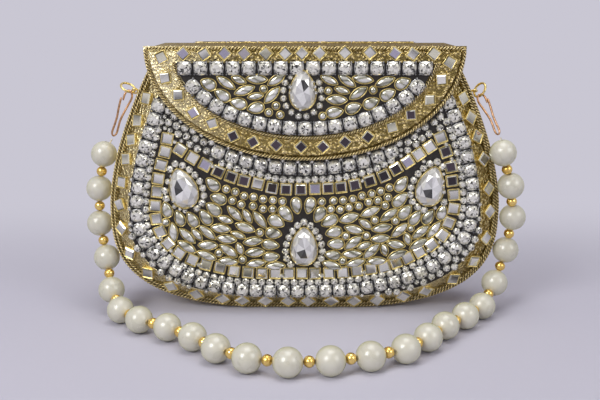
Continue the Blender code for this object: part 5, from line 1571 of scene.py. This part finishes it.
@dataclass
class Case(Tailor):
    """The case: front and back sheets, band, ropes, linings and the stones of the front."""

    body: Body = Body.CASE
    plain: Profile = field(default_factory=case_profile)
    drawn: Profile = field(default_factory=lambda: case_profile(0.82, 0.2))
    front_rim: float = -0.0059
    rear_rim: float = 0.0181
    sheet: float = 0.0008
    seat: float = 0.0003
    front_rise: float = -0.0095
    back_rise: float = 0.0070
    flange: float = 0.0029
    front_slope: float = 0.0106
    back_slope: float = 0.0070
    front_plateau: float = 0.0112
    back_plateau: float = 0.0105
    front_top: float = 0.1385
    back_top: float = 0.1390
    flange_inner: float = 0.0024
    draft: float = 0.0002
    slope_end: float = 0.0006
    flat_step: float = 0.003
    rope_radius: float = 0.00095
    rope_inset: float = 0.00096
    inner_rope_inset: float = 0.00285
    inner_rope_ahead: float = 0.0007
    lining_room: float = 0.0008
    fine: int = 241
    stone: float = 0.0072
    stone_pitch: float = 0.0074
    cup_depth: float = -0.0166
    mirror: float = 0.0064
    small: float = 0.0042
    small_pitch: float = 0.0043
    over_swag: float = 0.0049
    over_swag_half: float = 0.05
    halo: float = 0.0041
    crystal_room: float = 0.0047
    mirror_lift: float = 0.0008
    resin: float = 0.0006
    resin_room: float = 0.0006
    resin_top: float = 0.0005
    small_top: float = 0.001
    flap_room: float = 0.0004

    def build(self) -> None:
        """Build and dress the case."""
        self.press("front", self.front_top, self.front_rim,
                   (self.front_slope, self.front_rise + self.slope_end),
                   (self.front_plateau, self.front_rise), "gold_foil")
        self.press("back", self.back_top, self.rear_rim, (self.back_slope, self.back_rise * 0.62),
                   (self.back_plateau, self.back_rise), "gold_plate")
        self.finishes.dress("gold_plate", "side_band")
        self.finishes.dress("top_gold", "case_hinge_leaf")
        self.finishes.dress("bare_steel", "hinge_pin", "case_magnet")
        ahead = self.front_rim - self.seat - self.rope_radius
        behind = self.rear_rim + self.seat + self.rope_radius
        for node, inset, depth, top in (
                ("front_rope_outer", self.rope_inset, ahead, self.front_top),
                ("front_rope_inner", self.inner_rope_inset, ahead - self.inner_rope_ahead, self.front_top),
                ("rear_rope", self.rope_inset, behind, self.back_top)):
            self.rope(node, upright(self.plain.loop(inset, top, 400), depth), self.rope_radius)
        self.panel("front_lining", self.drawn, self.front_plateau + self.lining_room, 1.0, "front_foil")
        self.panel("back_lining", self.drawn, self.back_plateau + self.lining_room, -1.0, "back_foil")
        self.side("side_lining", self.plain, self.sheet + self.seat, "side_band")
        self.stones()

    def press(self, name: str, top: float, rim: float, slope: tuple[float, float],
              plateau: tuple[float, float], look: str) -> None:
        """Press one of the two large sheets: a flange, a slope and a flat middle.

        Args:
            name: The start of its name.
            top: Its height.
            rim: The depth of its flange.
            slope: The inset of the slope's end and its rise from the rim.
            plateau: The same for the flat middle.
            look: The finish.
        """
        step, inside = math.copysign(self.draft, plateau[1]), plateau[0] + self.flat_step
        lines = ((self.plain, 0.0, 0.0), (self.plain, self.flange_inner, 0.0),
                 (self.plain, self.flange, step), (self.drawn, *slope), (self.drawn, *plateau),
                 (self.drawn, inside, plateau[1]))
        rows = [(profile.loop(inset, top, self.fine), rim + rise) for profile, inset, rise in lines]
        self.dish(f"{name}_foil", rows, -math.copysign(self.sheet, plateau[1]), look, f"{name}_panel")

    def swag(self, x: float) -> float:
        """Height of the hanging row of mirrors at a place across."""
        return 0.1700 - math.sqrt(0.1030 ** 2 - x * x) if abs(x) < 0.0715 else 1.0

    def on_band(self) -> list[Setting]:
        """Lay the hand-set mirrors on the sloped band.

        Returns:
            Their settings.
        """
        low = self.plain.loop(self.flange, self.front_top, self.fine)
        high = self.drawn.loop(self.front_slope, self.front_top, self.fine)
        middle = [(a + b) / 2 for a, b in zip(low, high)]
        found = []
        for spot, place in zip(in_metres(BAND_PLACES), BAND_PLACES):
            k = min(range(1, self.fine - 1), key=lambda n: (middle[n] - spot).length)
            foot = Vector((low[k].x, self.front_rim - self.draft, low[k].y))
            head = Vector((high[k].x, self.front_rim + self.front_rise + self.slope_end, high[k].y))
            step = middle[k + 1] - middle[k - 1]
            way = Vector((step.x, 0.0, step.y)).normalized()
            out = way.cross(head - foot).normalized()
            out = out if out.y < 0 else -out
            under = max(0.0, -out.z)
            out = (out + AHEAD * (0.45 + 0.5 * under)).normalized()
            rise = out.cross(way).normalized()
            turn = math.radians(place[2])
            along = (way * math.cos(turn) + rise * math.sin(turn)).normalized()
            size = self.mirror * (1.0 + 0.08 * under)
            found.append(Setting((foot + head) / 2 + out * self.mirror_lift, along, along.cross(out), out,
                                 size, size, Cut.MIRROR))
        return found

    def stones(self) -> None:
        """Build the resin bed and every stone of the front."""
        reader, jeweller = StoneReader(), Jeweller(self.finishes, self.body, 7)
        back = self.front_rim + self.front_rise - self.seat
        front = back - self.resin
        edge = self.drawn.loop(self.front_plateau + self.resin_room, self.front_top - self.resin_top,
                               self.fine)
        self.bed("front_resin", edge, back, self.resin, "front_resin_bed")
        inner, hung = in_metres(RING_PLACES), in_metres(SWAG_PLACES)
        ring, swag = (strung(line, front, self.mirror, Cut.MIRROR) for line in (inner, hung))
        for mirrors, plum, violet in ((ring, RING_PLUM, ()), (swag, SWAG_PLUM, SWAG_VIOLET)):
            for index, one in enumerate(mirrors):
                jeweller.mirror(one, tint_of(index, plum, violet))
        bonded = [one.grown(1.14) if one.cut is Cut.LARGE else one
                  for one in reader.bonded("front_resin_bed", self.resin)
                  if one.cut not in (Cut.MIRROR, Cut.SMALL)]
        chain = strung(spaced(in_metres(CHAIN_PLACES), self.stone_pitch), self.cup_depth, self.stone,
                       Cut.LARGE)
        row = strung(spaced(in_metres(ROW_PLACES), self.small_pitch), front, self.small, Cut.SMALL)
        over = [spot + Vector((-way.y, way.x)) * self.over_swag
                for spot, way in list(zip(hung, ways(hung)))[1:-1] if abs(spot.x) < self.over_swag_half]
        row += strung(spaced(over, self.halo), front, self.small, Cut.SMALL)
        crystals = [reader.loose(f"crystal_{name}").grown(1.03, 1.14) for name in ("left", "right", "lower")]
        for crystal in crystals:
            row += halo(crystal, ring + swag + bonded + chain, self.halo)
        for one in bonded + chain + row + crystals:
            jeweller.set_stone(one)
        for one in self.on_band():
            jeweller.mirror(one)
        limit = self.drawn.loop(self.front_plateau + self.lining_room, self.front_top - self.small_top,
                                self.fine)
        flap = flap_profile().loop(-self.flap_room, FLAP_TOP, self.fine)

        def wanted(spot: Vector) -> bool:
            """True where small stones fill the ground.

            Args:
                spot: A place, across and up.

            Returns:
                Whether it is ground for small stones.
            """
            if not holds(limit, spot) or holds(flap, spot):
                return False
            near = any(one.reach(spot) < self.crystal_room for one in crystals)
            return near or not holds(inner, spot) or spot.y > self.swag(spot.x)

        for one in filler(ring + swag + bonded + chain + row + crystals, wanted, front, 5):
            jeweller.brilliant(one)
        jeweller.publish("front_resin_bed", "case_rhinestone_chain", "band_mirror_strip", "crystal_left",
                         "crystal_right", "crystal_lower")


@dataclass
class Flap(Tailor):
    """The flap: panel, top plate, ropes, lining and its stones."""

    body: Body = Body.FLAP
    outline: Profile = field(default_factory=flap_profile)
    inner: Profile = field(default_factory=lambda: flap_profile(0.845))
    top: float = FLAP_TOP
    sheet: float = 0.0010
    rim: float = 0.0017
    rim_end: float = 0.0029
    flat_edge: float = 0.0060
    fine: int = 161
    mirror: float = 0.0058
    resin: float = 0.0005
    stone: float = 0.0074
    stone_pitch: float = 0.0081
    leaf: tuple[float, float] = (0.0108, 0.0049)
    halo: float = 0.0038
    crystal_room: float = 0.0047
    lining_inset: float = 0.0131
    thick_rope: float = 0.0009
    thick_rope_top: float = 0.0022
    thick_rope_end: float = 0.0016
    thick_rope_level: float = 0.0010
    thin_rope: float = 0.0008
    thin_rope_inset: float = 0.0142
    thin_rope_top: float = 0.0082
    bed_inset: float = 0.0155
    bed_top: float = 0.0084
    row_room: float = 0.0040
    small_room: float = 0.0035

    def build(self) -> None:
        """Build and dress the flap."""
        low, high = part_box("flap_panel")
        edge = high.y - self.sheet
        rows = [(self.outline.loop(inset, self.top - inset, self.fine), depth)
                for inset, depth in ((0.0, edge), (self.rim, edge), (self.rim_end, low.y),
                                     (self.flat_edge, low.y))]
        self.dish("flap_foil", rows, self.sheet, "flap_gold", "flap_panel", True)
        self.finishes.dress("top_gold", "flap_top_plate", "flap_hinge_leaf")
        self.finishes.dress("bare_steel", "flap_magnet")
        self.panel("flap_lining", self.outline, self.lining_inset, 1.0, "flap_foil")
        thick, thin = self.thick_rope, self.thin_rope
        arc = self.outline.loop(thick, self.top - self.thick_rope_top, 240)
        reach, level = arc[-1].x - self.thick_rope_end, self.top - self.thick_rope_level
        line = arc + [Vector((reach * (1 - step / 30), level)) for step in range(61)] + [arc[0]]
        self.rope("flap_rope_outer", upright(line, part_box("flap_rope_outer")[1].y - thick), thick, True)
        line = self.inner.loop(self.thin_rope_inset, self.top - self.thin_rope_top, 300)
        self.rope("flap_rope_inner", upright(line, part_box("flap_rope_inner")[1].y - thin), thin)
        self.stones()

    def stones(self) -> None:
        """Build the flap's resin bed and its stones."""
        reader, jeweller = StoneReader(), Jeweller(self.finishes, self.body, 11)
        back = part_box("flap_resin_bed")[1].y
        edge = self.inner.loop(self.bed_inset, self.top - self.bed_top, self.fine)
        self.bed("flap_resin", edge, back, self.resin, "flap_resin_bed")
        leaf_across, leaf_low = -0.0146, 0.123
        bonded = [one.grown(1.3, 0.95)
                  if abs(one.centre.x - leaf_across) < 0.002 and one.centre.z > leaf_low else one
                  for one in reader.bonded("flap_resin_bed", self.resin)]
        ground = next(one for one in bonded if one.cut is Cut.MARQUISE).centre.y
        for x, z, turn in ((-0.0243, 0.1257, -4), (0.0293, 0.1257, -8)):
            bonded.append(lying(Vector((x, z)), ground, heading(math.radians(turn)), self.leaf, Cut.MARQUISE))
        found = reader.chained("flap_rhinestone_chain")
        pattern = max(found, key=lambda one: one.centre.z)
        level = pattern.centre.z
        chain = [one.grown(1.1) for one in found if one.centre.z < level - self.row_room]
        chain += [replace(pattern, centre=Vector(((step + 0.5) * self.stone_pitch, pattern.centre.y, level)),
                          length=self.stone, width=self.stone) for step in range(-8, 8)]
        crystal = reader.loose("flap_crystal").grown(1.02, 1.06)
        bonded += halo(crystal, bonded + chain, self.halo)
        for one in bonded + chain + [crystal]:
            jeweller.set_stone(one)
        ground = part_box("flap_mirror_strip")[1].y
        for index, (spot, place) in enumerate(zip(in_metres(FLAP_PLACES), FLAP_PLACES)):
            jeweller.mirror(lying(spot, ground, heading(math.radians(place[2])), (self.mirror, self.mirror),
                                  Cut.MIRROR), tint_of(index, FLAP_PLUM, FLAP_VIOLET))

        def wanted(spot: Vector) -> bool:
            """True close round the crystal."""
            return crystal.reach(spot) < self.crystal_room and spot.y < level - self.small_room

        for one in filler(bonded + chain + [crystal], wanted, back - self.resin, 9):
            jeweller.brilliant(one)
        jeweller.publish("flap_resin_bed", "flap_rhinestone_chain", "flap_mirror_strip", "flap_crystal")


@dataclass
class Strand(SheetMetal):
    """The strand handle: hooks, thread, pearls and gold beads."""

    body: Body = Body.HANDLE
    pearls: int = 24
    pearl_radius: float = 0.0070
    hole: float = 0.0009
    bead_radius: float = 0.0028
    thread_radius: float = 0.0004
    wire_swell: float = 0.00025
    eye_swell: float = 0.00015
    bead_room: float = 0.0001
    start: tuple[float, float, float] = (-0.10397, 0.00343, 0.09146)
    end: tuple[float, float, float] = (0.10165, -0.01460, 0.09503)

    def build(self) -> None:
        """Build and dress the strand."""
        for side in ("left", "right"):
            for node, look, swell in (("hook", "copper_wire", self.wire_swell),
                                      ("ring", "rim_gold", self.wire_swell),
                                      ("side_eye", "rim_gold", self.eye_swell)):
                self.round_off(f"{node}_{side}", look, swell)
        nodes = [f"pearl_{k:02d}" for k in range(1, self.pearls + 1)]
        centres = []
        for node in nodes:
            points, _ = welded(bpy.data.objects[node].data)
            centres.append(sum(points, Vector()) / len(points))
        stops = [Vector(self.start), *centres, Vector(self.end)]
        pearls = self.threaded(stops, nodes)
        beads = self.beads(centres)
        route = resample(stops, 120)
        thread = self.thread(route)

    def threaded(self, stops: Sequence[Vector], nodes: Sequence[str]) -> bpy.types.Object:
        """Turn the pearls round the thread, each with its drilled ends.

        Args:
            stops: The thread's ends and the pearls' middles.
            nodes: The pearls' CAD nodes.

        Returns:
            The piece.
        """
        buffer, bands, radius = Buffer(), 24, self.pearl_radius
        start = math.asin(self.hole / radius)
        turns = [start + (math.pi - 2 * start) * band / bands for band in range(bands + 1)]
        section = [(radius * math.cos(turn), radius * math.sin(turn)) for turn in turns]
        section = [(radius * 0.86, self.hole * 0.9), *section, (-radius * 0.86, self.hole * 0.9)]
        for before, centre, after in zip(stops, stops[1:], stops[2:]):
            buffer.turned(centre, (after - before).normalized(), section, 40)
        return self.make("pearls", buffer, "pearl_nacre", nodes, True)

    def beads(self, centres: Sequence[Vector]) -> bpy.types.Object:
        """Turn the gold beads between the pearls.

        Args:
            centres: The pearls' middles.

        Returns:
            The piece.
        """
        buffer, bands, start = Buffer(), 12, 0.24
        turns = [start + (math.pi - 2 * start) * band / bands for band in range(bands + 1)]
        for first, second in zip(centres, centres[1:]):
            half = min(self.bead_radius, (second - first).length / 2 - self.pearl_radius + self.bead_room)
            buffer.turned((first + second) / 2, (second - first).normalized(),
                          [(half * math.cos(turn), self.bead_radius * math.sin(turn)) for turn in turns], 20)
        return self.make("gold_beads", buffer, "bright_gold", ["beaded_thread"], True)

    def thread(self, line: Outline) -> bpy.types.Object:
        """Run the thread through every pearl.

        Args:
            line: Its route.

        Returns:
            The piece.
        """
        buffer, sides, across = Buffer(), 8, Vector((0.0, 0.0, 1.0))
        rings = []
        for point, along in zip(line, ways(line)):
            across = (across - along * across.dot(along)).normalized()
            up = along.cross(across)
            rings.append(buffer.ring([point + (across * math.cos(a) + up * math.sin(a)) * self.thread_radius
                                      for a in around(sides)]))
        buffer.loft(rings)
        buffer.face(rings[0])
        buffer.face(rings[-1])
        return self.make("thread", buffer, "thread_silk", ["beaded_thread"], True)


@dataclass
class Studio:
    """Floor, lamps, world and camera."""

    paper: Colour = (0.565, 0.552, 0.628)
    wall: Colour = (0.585, 0.57, 0.65)
    eye: tuple[float, float, float] = (-0.0025, -0.4779, 0.163)
    tilt: float = 12.32
    lens: float = 54.0

    def build(self) -> None:
        """Set the stage."""
        bpy.context.scene.view_settings.view_transform = "Standard"
        self.floor()
        self.camera()
        self.lamp("key", (-0.75, -0.95, 0.85), 0.7, 10.0)
        self.lamp("fill", (0.95, -0.75, 0.7), 0.7, 3.5)
        self.lamp("overhead", (0.05, -0.1, 1.3), 0.9, 5.5)
        self.world()

    def floor(self) -> None:
        """Sweep a paper floor up into a backdrop."""
        near, wide, bend, start = -6.0, 6.0, 0.5, 0.8
        turns = [math.pi / 2 * k / 12 for k in range(1, 13)]
        profile = [(near, 0.0), (0.6, 0.0), (start, 0.0)]
        profile += [(start + bend * math.sin(a), bend - bend * math.cos(a)) for a in turns]
        profile += [(start + bend, 3.0)]
        buffer = Buffer()
        buffer.loft([buffer.ring(Vector((x, y, z)) for x in (-wide, wide)) for y, z in profile], False)
        shader = Shader("paper_sweep")
        grain = shader.noise(300.0, 3.0).between(0.3, 0.7, 0.0, 0.06)
        paper = shader.set(Base_Color=shader.mix(grain, self.paper, (0.5, 0.49, 0.56)), Roughness=0.85,
                           Specular_IOR_Level=0.2)
        self.glow(shader, paper)
        buffer.piece("paper", shader.owner, True)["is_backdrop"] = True

    def glow(self, shader: Shader, paper: Value) -> None:
        """Let the far part of the paper show its own pale colour to the camera, and in gloss.

        Args:
            shader: The paper's nodes.
            paper: Its lit surface.
        """
        depth, across = shader.part("Y"), shader.part("X")
        far = (depth * depth + across * across) ** 0.5
        share = shader.clamped(depth.between(0.0, 0.26) + far.between(0.5, 1.0))
        seen = shader.clamped(shader.ray("Camera") + shader.ray("Glossy"))
        own = shader.add("ShaderNodeEmission", {}, {"Color": self.wall, "Strength": 1.0}, "Emission")
        shader.show(share * seen, paper, own)

    def camera(self) -> None:
        """Place the camera where the photograph was taken from."""
        data = bpy.data.cameras.new("camera")
        data.lens, data.sensor_width, data.clip_start = self.lens, 36.0, 0.01
        camera = bpy.data.objects.new("camera", data)
        camera.location = self.eye
        camera.rotation_euler = (math.radians(90 - self.tilt), 0.0, 0.0)
        bpy.context.scene.collection.objects.link(camera)
        bpy.context.scene.camera = camera

    def lamp(self, name: str, place: tuple[float, float, float], size: float, power: float) -> None:
        """Hang one soft lamp that faces the bag.

        Args:
            name: The lamp's name.
            place: Its place.
            size: Its width.
            power: Its power in watts.
        """
        data = bpy.data.lights.new(name, "AREA")
        data.shape, data.size, data.energy = "DISK", size, power
        lamp = bpy.data.objects.new(name, data)
        lamp.location = place
        aim = Vector((0.0, -0.02, 0.07)) - Vector(place)
        lamp.rotation_euler = aim.to_track_quat("-Z", "Y").to_euler()
        bpy.context.scene.collection.objects.link(lamp)

    def world(self) -> None:
        """Give a pale room, darker behind the camera, with plain colours in gloss and to the camera."""
        room = Shader("room", True)
        bpy.context.scene.world = room.owner
        stops = ((0.0, (0.42, 0.40, 0.44)), (0.5, (0.72, 0.71, 0.76)))
        ramp = room.add("ShaderNodeValToRGB", {"stops": stops}, {0: room.part("Y", "Generated")}, "Color")
        air = room.set(Color=ramp, Strength=0.7)
        gloss, wall = (room.add("ShaderNodeBackground", {}, {"Color": colour}, "Background")
                       for colour in ((0.58, 0.555, 0.53), self.wall))
        room.show(room.ray("Camera"), room.show(room.ray("Glossy"), air, gloss), wall)


def corners() -> list[list[float]]:
    """The shown object's box as plain lists."""
    return [list(corner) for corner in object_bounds()]


def main() -> None:
    """Load the frame and dress it."""
    logging.basicConfig(level=logging.INFO, format="%(name)s %(message)s")
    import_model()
    Studio().build()
    finishes = Finishes()
    Strand(finishes).build()
    Case(finishes).build()
    Flap(finishes).build()


if __name__ == "__main__":
    main()
